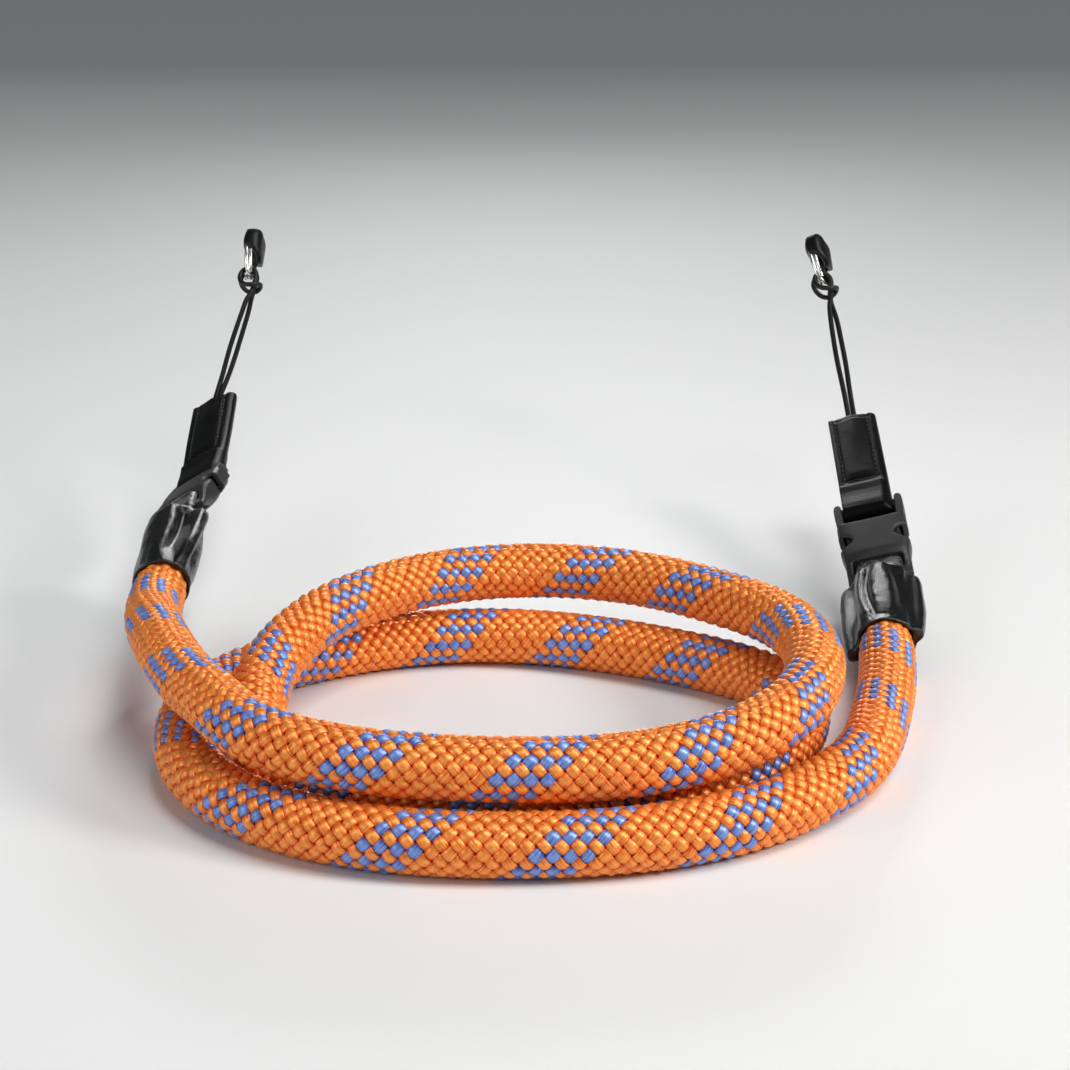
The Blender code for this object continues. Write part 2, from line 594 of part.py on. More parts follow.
def make_end(side, mouth, materials):
    """One end of the strap: cap, buckle, tab, thin cord, ring and ring cover. Returns the cap's frame."""
    pose = END_POSES[side]
    anchor = bpy.data.objects.new(side + "_end", None)
    bpy.context.collection.objects.link(anchor)
    anchor.location = mouth
    bpy.context.view_layer.update()

    cap_place = frame_at(mouth, pose["cap"])
    socket_place = frame_at(cap_place @ Vector((0, CAP_TO_BAR, 0)), pose["buckle"])
    front = BUCKLE_BAR_LENGTHWISE / 2 + SLOT_LENGTHWISE + SOCKET_BODY
    bars_apart = front + GAP + PLUG_LIP + SLOT_LENGTHWISE + BUCKLE_BAR_LENGTHWISE / 2
    plug_place = socket_place @ Matrix.Translation((0, bars_apart, 0))
    tab_place = frame_at(plug_place.translation, pose["tab"])
    ring_point = tab_place @ Vector((0, TAB_LENGTH, 0)) + Vector(pose["reach"]) * MM
    ring_place = frame_at(ring_point, pose["ring"])

    def piece(name, build, place, material=None):
        return add_object(side + name, mesh_from(side + name, build), place, material, anchor)

    twist = math.radians(pose["buckle"][2] - pose["cap"][2])
    cap = piece("_rope_cap", build_cap(pose["flange"], twist), cap_place, materials["leather"])
    cut(cap, piece("_cap_cavity", build_cavity, cap_place), "bore for the rope")
    cut(cap, piece("_cap_bar_room", build_bar_room(STRIP_WIDTH), socket_place), "room for the bar")

    socket = piece("_buckle_socket", build_socket, socket_place, materials["plastic"])
    cut(socket, piece("_socket_slot", build_slot, socket_place), "slot for the strip")
    cut(socket, piece("_socket_room", build_socket_room, socket_place), "hollow for the prongs")
    cut(socket, piece("_socket_notch", build_notch, socket_place), "release notches")
    cut(socket, piece("_socket_dip", build_mouth_dip, socket_place), "dip of the mouth")

    plug = piece("_buckle_plug", build_plug, plug_place, materials["plastic"])
    cut(plug, piece("_plug_window", build_plug_window, plug_place), "window for the tab")
    cut(plug, piece("_plug_waist", build_bar_waist, plug_place), "waist of the bar")

    twist = math.radians(pose["buckle"][2] - pose["tab"][2])
    tab = piece("_leather_tab", build_tab(twist), tab_place, materials["leather"])
    cut(tab, piece("_tab_bar_room", build_bar_room(TAB_WIDTH), plug_place), "room for the bar")
    cut(tab, piece("_tab_pocket", build_pocket, tab_place), "pocket for the thin cord")

    loop = smooth_curve(lug_cord_points(tab_place, ring_place), LUG_CORD_STEPS)
    tube(side + "_lug_cord", loop, LUG_CORD_DIAMETER, LUG_CORD_SIDES, materials["cord"])

    piece("_split_ring", build_ring, ring_place, materials["metal"])
    cover = piece("_ring_cover", build_cover, ring_place, materials["leather"])
    cut(cover, piece("_cover_room", build_cover_room, ring_place), "gap for the ring")
    return cap_place


def make_rope(cap_places, material):
    """The rope along its route, with each end straight and pinched inside its cap."""
    route = [Vector(point) * MM - ROUTE_MIDDLE for point in ROPE_ROUTE]
    before = [cap_places["left"] @ Vector((0, share * ROPE_IN_CAP, 0)) for share in (1, 0.5)]
    after = [cap_places["right"] @ Vector((0, share * ROPE_IN_CAP, 0)) for share in (0.5, 1)]
    points = smooth_curve(before + route + after, ROPE_STEPS)
    for point in points:
        point.z = max(point.z, ROPE_DIAMETER / 2 * math.cos(math.pi / ROPE_SIDES))
    shares = [1] * ROPE_STEPS
    for i in (0, 1, -2, -1):
        shares[i] = ROPE_PINCH
    return tube("braided_rope", points, ROPE_DIAMETER, ROPE_SIDES, material, shares)


def main():
    clear_scene()
    materials = {
        "rope": make_material("orange braid", (0.83, 0.17, 0.02), 0.6, 0.0),
        "leather": make_material("black leather", (0.012, 0.012, 0.013), 0.35, 0.0),
        "plastic": make_material("dark grey plastic", (0.03, 0.03, 0.032), 0.55, 0.0),
        "cord": make_material("black cord", (0.01, 0.01, 0.01), 0.7, 0.0),
        "metal": make_material("silver wire", (0.75, 0.75, 0.76), 0.2, 1.0),
    }
    places = {}
    for side, end in (("left", ROPE_ROUTE[0]), ("right", ROPE_ROUTE[-1])):
        places[side] = make_end(side, Vector(end) * MM - ROUTE_MIDDLE, materials)
    make_rope(places, materials["rope"])


main()
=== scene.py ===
"""A coiled braided camera strap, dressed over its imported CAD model.

The rope's yarns, the gathered leather caps, the small side release buckles, the folded leather tabs, the thin
cord loops with their hitches and the split rings are built here in metres, where the CAD model has them.
"""

import math

import bpy
import numpy as np
from mathutils import Matrix, Vector, noise


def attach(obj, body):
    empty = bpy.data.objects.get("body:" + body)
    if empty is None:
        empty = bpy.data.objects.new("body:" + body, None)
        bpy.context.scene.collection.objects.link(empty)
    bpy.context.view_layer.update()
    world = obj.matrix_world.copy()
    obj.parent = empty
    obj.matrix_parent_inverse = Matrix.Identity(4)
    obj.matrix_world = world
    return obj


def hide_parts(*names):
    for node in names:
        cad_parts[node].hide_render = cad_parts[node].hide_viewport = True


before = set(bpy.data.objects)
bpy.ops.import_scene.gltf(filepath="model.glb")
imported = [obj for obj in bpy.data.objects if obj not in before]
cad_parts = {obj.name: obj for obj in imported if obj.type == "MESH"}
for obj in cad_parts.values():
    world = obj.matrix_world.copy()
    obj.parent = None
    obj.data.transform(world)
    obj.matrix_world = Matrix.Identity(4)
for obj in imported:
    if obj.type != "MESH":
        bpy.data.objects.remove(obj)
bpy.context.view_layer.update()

# The view, the floor and the light. The photograph looks down on the coil at 18 degrees through a long
# lens. One broad soft light stands high in front and to the right, with a small lamp at the right, a fill
# from the left and a faint low light behind.

CAMERA_PLACE = (0.00087, -0.39839, 0.14874)
CAMERA_TILT = math.radians(71.6)
LENS = 75.4
SENSOR = 36.0


def linked(name, data):
    """A new object with its data, linked into the scene."""
    item = bpy.data.objects.new(name, data)
    bpy.context.collection.objects.link(item)
    return item


camera_data = bpy.data.cameras.new("photo camera")
camera_data.lens = LENS
camera_data.sensor_width = SENSOR
camera_data.clip_start = 0.01
camera_data.clip_end = 30.0
camera = linked("photo camera", camera_data)
camera.location = CAMERA_PLACE
camera.rotation_euler = (CAMERA_TILT, 0, 0)
bpy.context.scene.camera = camera


def new_material(name):
    """A new material, its Principled shader and its node tree."""
    material = bpy.data.materials.new(name)
    material.use_nodes = True
    tree = material.node_tree
    shader = tree.nodes["Principled BSDF"]
    return material, shader, tree


def set_inputs(tree, item, inputs):
    """Gives a shader node's inputs plain values, or links them where the value is another node's output."""
    for key, value in inputs.items():
        if isinstance(value, bpy.types.NodeSocket):
            tree.links.new(value, item.inputs[key])
        else:
            item.inputs[key].default_value = value


def node(tree, kind, inputs=None, **settings):
    """One shader node, with plain settings and with values or links for its inputs."""
    item = tree.nodes.new("ShaderNode" + kind)
    for key, value in settings.items():
        setattr(item, key, value)
    set_inputs(tree, item, inputs or {})
    return item


def arithmetic(tree, operation, *values):
    """The result of one sum or product of values over the surface."""
    return node(tree, "Math", dict(enumerate(values)), operation=operation).outputs[0]


def own_place(tree):
    """Each point's place in its piece, in metres."""
    return node(tree, "TexCoord").outputs["Object"]


def cloudy(tree, place, scale, detail, roughness=0.5):
    """A cloudy value over the surface."""
    inputs = {"Vector": place, "Scale": scale, "Detail": detail, "Roughness": roughness}
    return node(tree, "TexNoise", inputs).outputs[0]


def ramp(tree, factor, stops):
    """A colour ramp on factor, through (place, colour) stops."""
    item = node(tree, "ValToRGB", {0: factor})
    band = item.color_ramp
    for i, (place, colour) in enumerate(stops):
        stop = band.elements[i] if i < 2 else band.elements.new(place)
        stop.position = place
        stop.color = (*colour, 1)
    return item.outputs[0]


FLOOR_CORNERS = [(-4, -2, 0), (4, -2, 0), (4, 6, 0), (-4, 6, 0)]
FLOOR_SHADES = [(0.12, (0.76, 0.775, 0.785)), (0.4, (0.62, 0.635, 0.645)), (0.95, (0.24, 0.25, 0.26))]

# The floor is painted darker towards the back, as painted shade where the light falls off, with a faint
# mottle.
floor_mesh = bpy.data.meshes.new("floor")
floor_mesh.from_pydata(FLOOR_CORNERS, [], [(0, 1, 2, 3)])
floor = linked("floor", floor_mesh)
floor_paint, shader, tree = new_material("pale floor")
spot = own_place(tree)
mottle = cloudy(tree, spot, scale=3.0, detail=2.0)
depth = node(tree, "SeparateXYZ", {0: spot}).outputs["Y"]
level = arithmetic(tree, "MULTIPLY_ADD", mottle, 0.1, depth)
set_inputs(tree, shader, {"Base Color": ramp(tree, level, FLOOR_SHADES), "Roughness": 0.65})
floor_mesh.materials.append(floor_paint)

SOFTBOX_POWER = 1.8
SOFTBOX_SPREAD = math.radians(34)
SOFTBOX_WAY = Vector((-0.42, 0.2, -1.0))
LAMPS_AIM = Vector((0, -0.03, 0.01))
# Each lamp's name, place, size, power, spread in degrees and colour.
LAMPS = [
    ("right strip light", (0.52, -0.22, 0.34), (0.16, 0.16), 2.6, 180, (1.0, 0.97, 0.93)),
    ("left fill", (-0.7, -0.5, 0.4), (0.5, 0.5), 2.4, 180, (0.97, 0.98, 1.0)),
    ("low back light", (0.0, 0.95, 0.40), (0.3, 0.13), 0.26, 60, (1.0, 1.0, 1.0)),
]
SURROUND_COLOUR = (0.90, 0.94, 1.0, 1)
SURROUND_STRENGTH = 0.09


def add_light(name, kind, power, colour, way):
    """A light of a kind, power and colour that shines one way, and its settings."""
    settings = bpy.data.lights.new(name, kind)
    settings.energy = power
    settings.color = colour
    light = linked(name, settings)
    light.rotation_euler = way.to_track_quat("-Z", "Y").to_euler()
    return light, settings


_, settings = add_light("overhead softbox", "SUN", SOFTBOX_POWER, (1.0, 0.985, 0.96), SOFTBOX_WAY)
settings.angle = SOFTBOX_SPREAD
for name, place, size, power, spread, colour in LAMPS:
    lamp, settings = add_light(name, "AREA", power, colour, LAMPS_AIM - Vector(place))
    settings.shape = "RECTANGLE"
    settings.size, settings.size_y = size
    settings.spread = math.radians(spread)
    lamp.location = place
    lamp.visible_camera = False

world = bpy.data.worlds.new("studio")
world.use_nodes = True
surround = world.node_tree.nodes["Background"]
set_inputs(world.node_tree, surround, {"Color": SURROUND_COLOUR, "Strength": SURROUND_STRENGTH})
bpy.context.scene.world = world
bpy.context.scene.view_settings.view_transform = "Standard"

# The rope: twenty flat bundles of polyester filament braided one over, one under, round a soft core. Ten
# run each way round, and four neighbours of one set are blue. It lies in two and a half turns, and each
# end is pinched where its leather cap grips it.

MM = 0.001
ROPE_DIAMETER = 10.0 * MM
ROPE_IN_CAP = 13.0 * MM
ROPE_PINCH = 0.84
PINCH_FROM = 8.0 * MM
PINCH_OVER = 11.0 * MM
LOWEST_MIDDLE = 0.483 * ROPE_DIAMETER
ROUTE_MIDDLE = Vector((-0.87, -0.61, 0.16)) * MM
ROPE_ROUTE = [
    (-67.1, -19.3, 13.5), (-67.1, -25.9, 12.5), (-65.9, -36.5, 13.2), (-63.4, -47.6, 14.8),
    (-61, -55.8, 15.7), (-57, -66.3, 15.9), (-52.9, -74.8, 15.9), (-49.4, -80.7, 16), (-44.6, -88, 15.6),
    (-37, -95, 15.2), (-27, -99.2, 14.8), (-14, -101.4, 14.4), (0, -101.8, 14.2), (13, -100.2, 14.2),
    (24, -96.3, 14.6), (33.5, -89.8, 15.3), (40.6, -80, 15.7), (44.6, -67, 15.7), (44.6, -54, 15.7),
    (40.5, -42.6, 15.7), (32, -33, 15.7), (21, -24.5, 15.7), (8, -19.5, 15.7), (-6, -19.2, 15.7),
    (-18.5, -23.6, 15.7), (-29.5, -31.8, 15.4), (-38.5, -42, 13.9), (-43.6, -53, 11.2), (-44.9, -65, 8.2),
    (-42.6, -76, 5.9), (-36.2, -85.3, 5), (-27, -91.4, 5), (-14, -95.5, 5), (0, -96.4, 5), (13, -94.3, 5),
    (24, -89.4, 5), (33.5, -81.7, 5), (40.3, -71.2, 5), (43.4, -60, 5), (42, -50, 5), (36.5, -42, 5),
    (28, -35.8, 5), (16, -29.4, 5), (2, -24.7, 5), (-12, -23.5, 5), (-26, -26.4, 5), (-39, -33, 5),
    (-50, -43, 5), (-55.6, -55, 5), (-56.3, -68, 5), (-53, -80.8, 5), (-46, -91.8, 5), (-35.6, -100.1, 5),
    (-22, -105.4, 5), (-8, -107.3, 5), (6, -107, 5), (19, -104.4, 5), (31, -99, 5), (42, -90, 5),
    (50.4, -78.6, 5), (53.8, -70.5, 5), (56.7, -60.1, 5), (59.1, -49.6, 5.05), (61.0, -37.8, 5.6),
    (61.9, -29.9, 6.4),
]
# How each end lies. mouth is the route's point at the cap's mouth, and reach leads from the tab's top to the
# ring in millimetres. The others are each stretch's heading from +Y, slope and roll in degrees.
END_POSES = {
    "left": {
        "mouth": 0,
        "cap": (-1.5, 8.6, 48.0),
        "buckle": (4.0, 0.9, 33.0),
        "tab": (-2.4, 12.6, 27.0),
        "ring": (3.2, 45.9, 0.0),
        "reach": (2.8, 39.8, 18.8),
    },
    "right": {
        "mouth": -1,
        "cap": (6.2, 5.8, 14.0),
        "buckle": (1.1, 16.9, 16.0),
        "tab": (1.1, 16.0, 15.0),
        "ring": (-7.5, 39.4, 0.0),
        "reach": (-2.3, 38.7, 20.9),
    },
}
SPLINE_STEPS = 40


def frame_at(point, pose):
    """A frame whose Y runs along the strap, at a heading and slope, rolled about it so that +X rises."""
    heading, slope, roll = (math.radians(angle) for angle in pose)
    turn = Matrix.Rotation(-heading, 4, "Z") @ Matrix.Rotation(slope, 4, "X") @ Matrix.Rotation(-roll, 4, "Y")
    return Matrix.Translation(point) @ turn


def eased(share):
    """A share, kept from 0 to 1, that starts and ends softly."""
    share = np.clip(share, 0, 1)
    return share * share * (3 - 2 * share)


def along_line(line):
    """How far each point of a line is from its start, along it."""
    return np.concatenate([[0], np.cumsum(np.linalg.norm(np.diff(line, axis=0), axis=1))])


def smooth_curve(points):
    """The natural cubic spline through points, as a line of many short steps."""
    points = np.array(points, float)
    knots = along_line(points)
    spans = np.linalg.norm(np.diff(points, axis=0), axis=1)
    size = len(points)
    system = np.eye(size)
    target = np.zeros((size, 3))
    for i in range(1, size - 1):
        system[i, i - 1 : i + 2] = spans[i - 1], 2 * (spans[i - 1] + spans[i]), spans[i]
        target[i] = 6 * ((points[i + 1] - points[i]) / spans[i] - (points[i] - points[i - 1]) / spans[i - 1])
    bends = np.linalg.solve(system, target)
    fine = np.linspace(0, knots[-1], SPLINE_STEPS * size)
    span = np.clip(np.searchsorted(knots, fine, side="right") - 1, 0, size - 2)
    width = spans[span][:, None]
    before = (knots[span + 1] - fine)[:, None]
    after = (fine - knots[span])[:, None]
    curve = (bends[span] * before**3 + bends[span + 1] * after**3) / (6 * width)
    curve += (points[span] / width - bends[span] * width / 6) * before
    curve += (points[span + 1] / width - bends[span + 1] * width / 6) * after
    return curve


def even_points(line, count):
    """count points along a line, evenly spaced."""
    length = along_line(line)
    even = np.linspace(0, length[-1], count)
    return np.stack([np.interp(even, length, line[:, axis]) for axis in range(3)], axis=1)


def unit(rows):
    """Each row's vector, one long."""
    return rows / np.linalg.norm(rows, axis=1)[:, None]


def carried_frame(line):
    """The normal and second normal along a line, with no twist between them."""
    tangent = unit(np.gradient(line, axis=0))
    normal = np.zeros_like(line)
    side = np.cross([0, 0, 1], tangent[0])
    for i in range(len(line)):
        side = side - tangent[i] * np.dot(side, tangent[i])
        side /= np.linalg.norm(side)
        normal[i] = side
    return normal, np.cross(tangent, normal)


def rows_round(line, normal, second, radius, sides):
    """Rows of points round a line, for a round tube."""
    radius = np.broadcast_to(radius, len(line))[:, None]
    columns = []
    for i in range(sides):
        angle = 2 * math.pi * i / sides
        out = normal * math.cos(angle) + second * math.sin(angle)
        columns.append(line + out * radius)
    return np.stack(columns, axis=1)


def skin(name, rows, ends=True, uv=None, paint=None):
    """A smooth skin round rows of points, with ends or not. paint is a name and one value for each point."""
    rows = np.asarray(rows, float)
    high, wide = rows.shape[:2]
    index = np.arange(high * wide).reshape(high, wide)
    beside = np.roll(index, -1, axis=1)
    faces = np.stack([index[:-1], beside[:-1], beside[1:], index[1:]], axis=-1).reshape(-1, 4)
    loops = [faces.reshape(-1)]
    sizes = [np.full(len(faces), 4)]
    if ends:
        loops += [index[0][::-1], index[-1]]
        sizes += [np.array([wide]), np.array([wide])]
    loops = np.concatenate(loops)
    sizes = np.concatenate(sizes)
    mesh = bpy.data.meshes.new(name)
    mesh.vertices.add(high * wide)
    mesh.vertices.foreach_set("co", rows.reshape(-1))
    mesh.loops.add(len(loops))
    mesh.loops.foreach_set("vertex_index", loops.astype(np.int32))
    mesh.polygons.add(len(sizes))
    starts = np.concatenate([[0], np.cumsum(sizes)[:-1]])
    mesh.polygons.foreach_set("loop_start", starts.astype(np.int32))
    mesh.polygons.foreach_set("loop_total", sizes.astype(np.int32))
    mesh.update(calc_edges=True)
    if uv is not None:
        layer = mesh.uv_layers.new(name="UVMap")
        flat = np.asarray(uv, float).reshape(-1, 2)
        layer.data.foreach_set("uv", flat[loops].reshape(-1))
    if paint is not None:
        title, values = paint
        layer = mesh.attributes.new(title, "FLOAT", "POINT")
        layer.data.foreach_set("value", np.asarray(values, float).reshape(-1))
    mesh.shade_smooth()
    return mesh


def joined(name, meshes):
    """Several meshes as one."""
    items = [linked(name, mesh) for mesh in meshes]
    with bpy.context.temp_override(active_object=items[0], selected_editable_objects=items):
        bpy.ops.object.join()
    mesh = items[0].data
    bpy.data.objects.remove(items[0])
    return mesh


def add_piece(name, mesh, material, nodes=(), place=None):
    """A finished piece at its place, on the one body, with its finish and the CAD nodes it replaces."""
    if place is not None:
        mesh.transform(place)
    item = linked(name, mesh)
    mesh.materials.append(material)
    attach(item, "root")
    if nodes:
        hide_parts(*nodes)
    return item


# Where the blue group faces the camera or lies along the rope: millimetres from the left end, the angle of
# the group's middle round the rope in degrees, and how often the blue strands go round to the next place.
BLUE_GROUPS = [
    (24.9, 73, 1), (46.1, 79, 1), (67.4, 121, 1), (89.8, 139, 1), (111.0, 154, 1), (134.6, 155, 1),
    (159.2, 152, 1), (182.1, 133, 2), (241.3, 26, 1), (261.6, 22, 1), (287.1, 23, 1), (311.8, 32, 8),
    (496.6, 10, 1), (519.7, 8, 1), (542.4, 7, 1), (566.5, 9, 2), (616.6, 86, 1), (643.8, 132, 1),
    (667.9, 139, 1), (691.8, 139, 1), (717.5, 135, 1), (743.0, 114, 1), (766.6, 80, 1), (790.5, 69, 1),
]
BRAID_LEAD = 23.6 * MM
TWIST_REACH = 12.0 * MM
STRANDS = 10
STRAND_MIDDLE = 4.16 * MM
STRAND_WAVE = 0.4 * MM
STRAND_HALF_WIDTH = 0.93 * MM
STRAND_HALF_THICK = 0.45 * MM
STRAND_PROFILE = [(-1.0, -0.2), (-0.72, 0.62), (0.0, 1.0), (0.72, 0.62), (1.0, -0.2), (0.0, -0.9)]
STATION = 0.32 * MM
# How far each strand wanders by itself: over how many stations, then in height, angle, width and thickness.
DRIFT_STATIONS = 25
DRIFT_HEIGHT = 0.02 * MM
DRIFT_ANGLE = 0.012
DRIFT_WIDTH = 0.035
DRIFT_THICKNESS = 0.03

places = {}
for side, pose in END_POSES.items():
    mouth = Vector(ROPE_ROUTE[pose["mouth"]]) * MM - ROUTE_MIDDLE
    places[side] = {"cap": frame_at(mouth, pose["cap"])}


def inside_cap(side, shares):
    """Points of the rope inside a cap, at shares of its depth there."""
    return [tuple(places[side]["cap"] @ Vector((0, share * ROPE_IN_CAP, 0))) for share in shares]


route = [tuple(Vector(point) * MM - ROUTE_MIDDLE) for point in ROPE_ROUTE]
rope_line = smooth_curve(inside_cap("left", (1, 0.5)) + route + inside_cap("right", (0.5, 1)))
rope_length = along_line(rope_line)[-1]
rope_curve = even_points(rope_line, int(rope_length / STATION) + 1)
rope_curve[:, 2] = np.maximum(rope_curve[:, 2], LOWEST_MIDDLE)
rope_along = np.linspace(0, rope_length, len(rope_curve))
rope_normal, rope_second = carried_frame(rope_curve)
from_end = np.minimum(rope_along, rope_length - rope_along)
rope_size = ROPE_PINCH + (1 - ROPE_PINCH) * eased((from_end - PINCH_FROM) / PINCH_OVER)

# How far the braid is turned round the rope at each place, so that its blue group lies where the table says.
group_places, group_degrees, group_steps = np.array(BLUE_GROUPS).T
group_places = group_places * MM
rounds_before = np.concatenate([[0], np.cumsum(group_steps[:-1])])
turns = np.interp(rope_along, group_places, group_degrees / 360 - rounds_before)
turns -= np.maximum(rope_along - group_places[-1], 0) / BRAID_LEAD
turns += np.maximum(group_places[0] - rope_along, 0) / BRAID_LEAD
reach = int(TWIST_REACH / STATION)
kernel = np.hanning(2 * reach + 1)
kernel /= kernel.sum()
twist = np.pad(turns + rope_along / BRAID_LEAD, reach, mode="edge")
rope_turn = 2 * math.pi * np.convolve(twist, kernel, mode="valid")
braid_angle = 2 * math.pi * rope_along / BRAID_LEAD


def braid_strands(name, way, first, count, material, seed):
    """Neighbouring strands as one piece. way is -1 for the set with the blue strands and 1 for the other."""
    rng = np.random.default_rng(seed)
    drift_kernel = np.ones(DRIFT_STATIONS) / math.sqrt(DRIFT_STATIONS)
    over = -way * np.cos(STRANDS * braid_angle)
    parts = []
    for k in np.arange(first, first + count):
        chance = rng.normal(0, 1, len(rope_along) + DRIFT_STATIONS - 1)
        drift = np.convolve(chance, drift_kernel, mode="valid")
        angle = rope_turn + way * braid_angle + 2 * math.pi * k / STRANDS + DRIFT_ANGLE * drift
        radius = (STRAND_MIDDLE + STRAND_WAVE * over + DRIFT_HEIGHT * drift) * rope_size
        out = rope_normal * np.cos(angle)[:, None] + rope_second * np.sin(angle)[:, None]
        line = rope_curve + out * radius[:, None]
        tangent = unit(np.gradient(line, axis=0))
        face = unit(out - tangent * (out * tangent).sum(axis=1)[:, None])
        across = np.cross(tangent, face)
        length = along_line(line) / MM
        half_wide = STRAND_HALF_WIDTH * (1 + DRIFT_WIDTH * drift) * (1 + 0.05 * over) * rope_size
        half_thick = STRAND_HALF_THICK * (1 - DRIFT_THICKNESS * drift) * rope_size
        rows = []
        uv = []
        painted_crown_light = []
        for v, h in STRAND_PROFILE:
            rows.append(line + across * (v * half_wide)[:, None] + face * (h * half_thick)[:, None])
            uv.append(np.stack([length, np.full(len(length), v + k)], axis=1))
            # Painted light: paler where the strand runs over another and on its crown, deeper where it runs
            # under.
            painted_crown_light.append(0.5 + 0.3 * over + 0.2 * h)
        rows, uv, painted_crown_light = (np.stack(columns, axis=1) for columns in (rows, uv, painted_crown_light))
        parts.append(skin(name, rows, uv=uv, paint=("crown", painted_crown_light)))
    return add_piece(name, joined(name, parts), material, ["braided_rope"])


def new_group(name, inputs, outputs):
    """An empty node group with float or vector sockets, and the sockets to build between, by name."""
    group = bpy.data.node_groups.new(name, "ShaderNodeTree")
    for way, rows in (("INPUT", inputs), ("OUTPUT", outputs)):
        for title, kind in rows:
            group.interface.new_socket(title, in_out=way, socket_type="NodeSocket" + kind)
    return group, group.nodes.new("NodeGroupInput").outputs, group.nodes.new("NodeGroupOutput")


def filament_group():
    """Bundled filament as a node group: its painted light with fine streaks, and the height of its lines."""
    group, given, made = new_group(
        "bundled filament",
        inputs=[("Place", "Vector"), ("Painted Crown Light", "Float"), ("Streaks", "Float")],
        outputs=[("Painted Paleness", "Float"), ("Height", "Float")],
    )
    stretched = node(group, "Mapping", {"Vector": given["Place"], "Scale": (0.35, 4.2, 1.0)}).outputs[0]
    lines = cloudy(group, stretched, scale=1.0, detail=3.0)
    streaks = arithmetic(group, "ADD", lines, -0.5)
    painted_paleness = arithmetic(group, "MULTIPLY_ADD", streaks, given["Streaks"], given["Painted Crown Light"])
    set_inputs(group, made, {"Painted Paleness": painted_paleness, "Height": lines})
    return group


filament = filament_group()


def bumped(tree, height, strength, distance=0.0001):
    """The surface's normal with fine relief on it."""
    return node(tree, "Bump", {"Height": height, "Strength": strength, "Distance": distance}).outputs[0]


def yarn_material(name, deep, plain, bright, streaks, satin):
    """Glossy bundled filament with fine lines, painted shade between the picks and painted highlight on top.
    """
    material, shader, tree = new_material(name)
    yarn = node(tree, "Group", node_tree=filament)
    set_inputs(tree, yarn, {
        "Place": node(tree, "UVMap", uv_map="UVMap").outputs[0],
        "Painted Crown Light": node(tree, "Attribute", attribute_name="crown").outputs["Fac"],
        "Streaks": streaks,
    })
    # The colour goes from deep, painted shade, through plain to bright, painted highlight.
    set_inputs(tree, shader, {
        "Base Color": ramp(tree, yarn.outputs["Painted Paleness"], [(0.2, deep), (0.62, plain), (1.0, bright)]),
        "Normal": bumped(tree, yarn.outputs["Height"], 0.8, 0.00005),
        "Tangent": node(tree, "Tangent", direction_type="UV_MAP", uv_map="UVMap").outputs[0],
        "Anisotropic": 0.5,
        "Anisotropic Rotation": 0.25,
        "Roughness": 0.44,
        "Metallic": satin,
        "Specular IOR Level": 0.8,
    })
    return material


# deep is each yarn's painted shade and bright its painted highlight.
orange_yarn = yarn_material(
    "orange yarn", deep=(0.26, 0.018, 0.001), plain=(0.74, 0.095, 0.003), bright=(1.0, 0.36, 0.06),
    streaks=1.3, satin=0.45,
)
blue_yarn = yarn_material(
    "blue yarn", deep=(0.012, 0.02, 0.14), plain=(0.042, 0.086, 0.41), bright=(0.21, 0.345, 0.76),
    streaks=1.3, satin=0.38,
)

CORE_RADIUS = 3.75 * MM
CORE_SIDES = 12
CORE_STEP = 8
CORE_SHADES = [(0.3, (0.16, 0.02, 0.004)), (0.7, (0.34, 0.05, 0.01))]

core_material, shader, tree = new_material("shaded core")
core_colour = ramp(tree, cloudy(tree, own_place(tree), scale=900.0, detail=3.0), CORE_SHADES)
set_inputs(tree, shader, {"Base Color": core_colour, "Roughness": 0.9})
line, normal, second, size = (part[::CORE_STEP] for part in (rope_curve, rope_normal, rope_second, rope_size))
core_mesh = skin("rope_core", rows_round(line, normal, second, CORE_RADIUS * size, CORE_SIDES))
rope_core = add_piece("rope_core", core_mesh, core_material, ["braided_rope"])
rope_pieces = [
    braid_strands("blue_yarns", -1, -1.5, 4, blue_yarn, seed=3),
    braid_strands("orange_yarns_right_laid", -1, 2.5, 6, orange_yarn, seed=5),
    braid_strands("orange_yarns_left_laid_a", 1, 0.5, 5, orange_yarn, seed=7),
    braid_strands("orange_yarns_left_laid_b", 1, 5.5, 5, orange_yarn, seed=9),
]

# The thin cords: a loop of 1.1 mm black braided cord from each tab's pocket, hitched to the split ring by
# passing its bight through the ring and the tab's end through the bight.

CAP_TO_BAR = 26.5 * MM
BARS_APART = 21.7 * MM
TAB_LENGTH = 33.5 * MM
LUG_CORD_DIAMETER = 1.1 * MM
LUG_CORD_IN_TAB = 9.0 * MM
POCKET_HALF = 0.56 * MM
LUG_CORD_POINTS = 361
# Half of the loop, in millimetres and from the ring's near end: where its straight runs aim, how far each
# stands from the middle at shares of the way there, the hitch, and the middle of the bight over the wire.
HITCH_FOOT = (0.9, -4.0, 0)
RUN_SPREADS = [(0.2, 0.62), (0.45, 0.86), (0.7, 0.8), (0.86, 0.66), (0.93, 0.61)]
HITCH_HALF = [
    (1.3, -3.2, 0.56), (1.6, -1.4, 0.62), (1.75, 0.6, 0.62), (1.0, 1.9, 0.62), (0.0, 2.1, 0.62),
    (-1.05, 1.8, 0.64), (-1.8, 0.5, 0.72), (-1.65, -1.2, 0.95), (-0.6, -2.4, 1.4), (0.9, -2.75, 1.7),
    (2.3, -2.4, 1.25),
]
BIGHT_MIDDLE = (2.85, -1.9, 0.0)

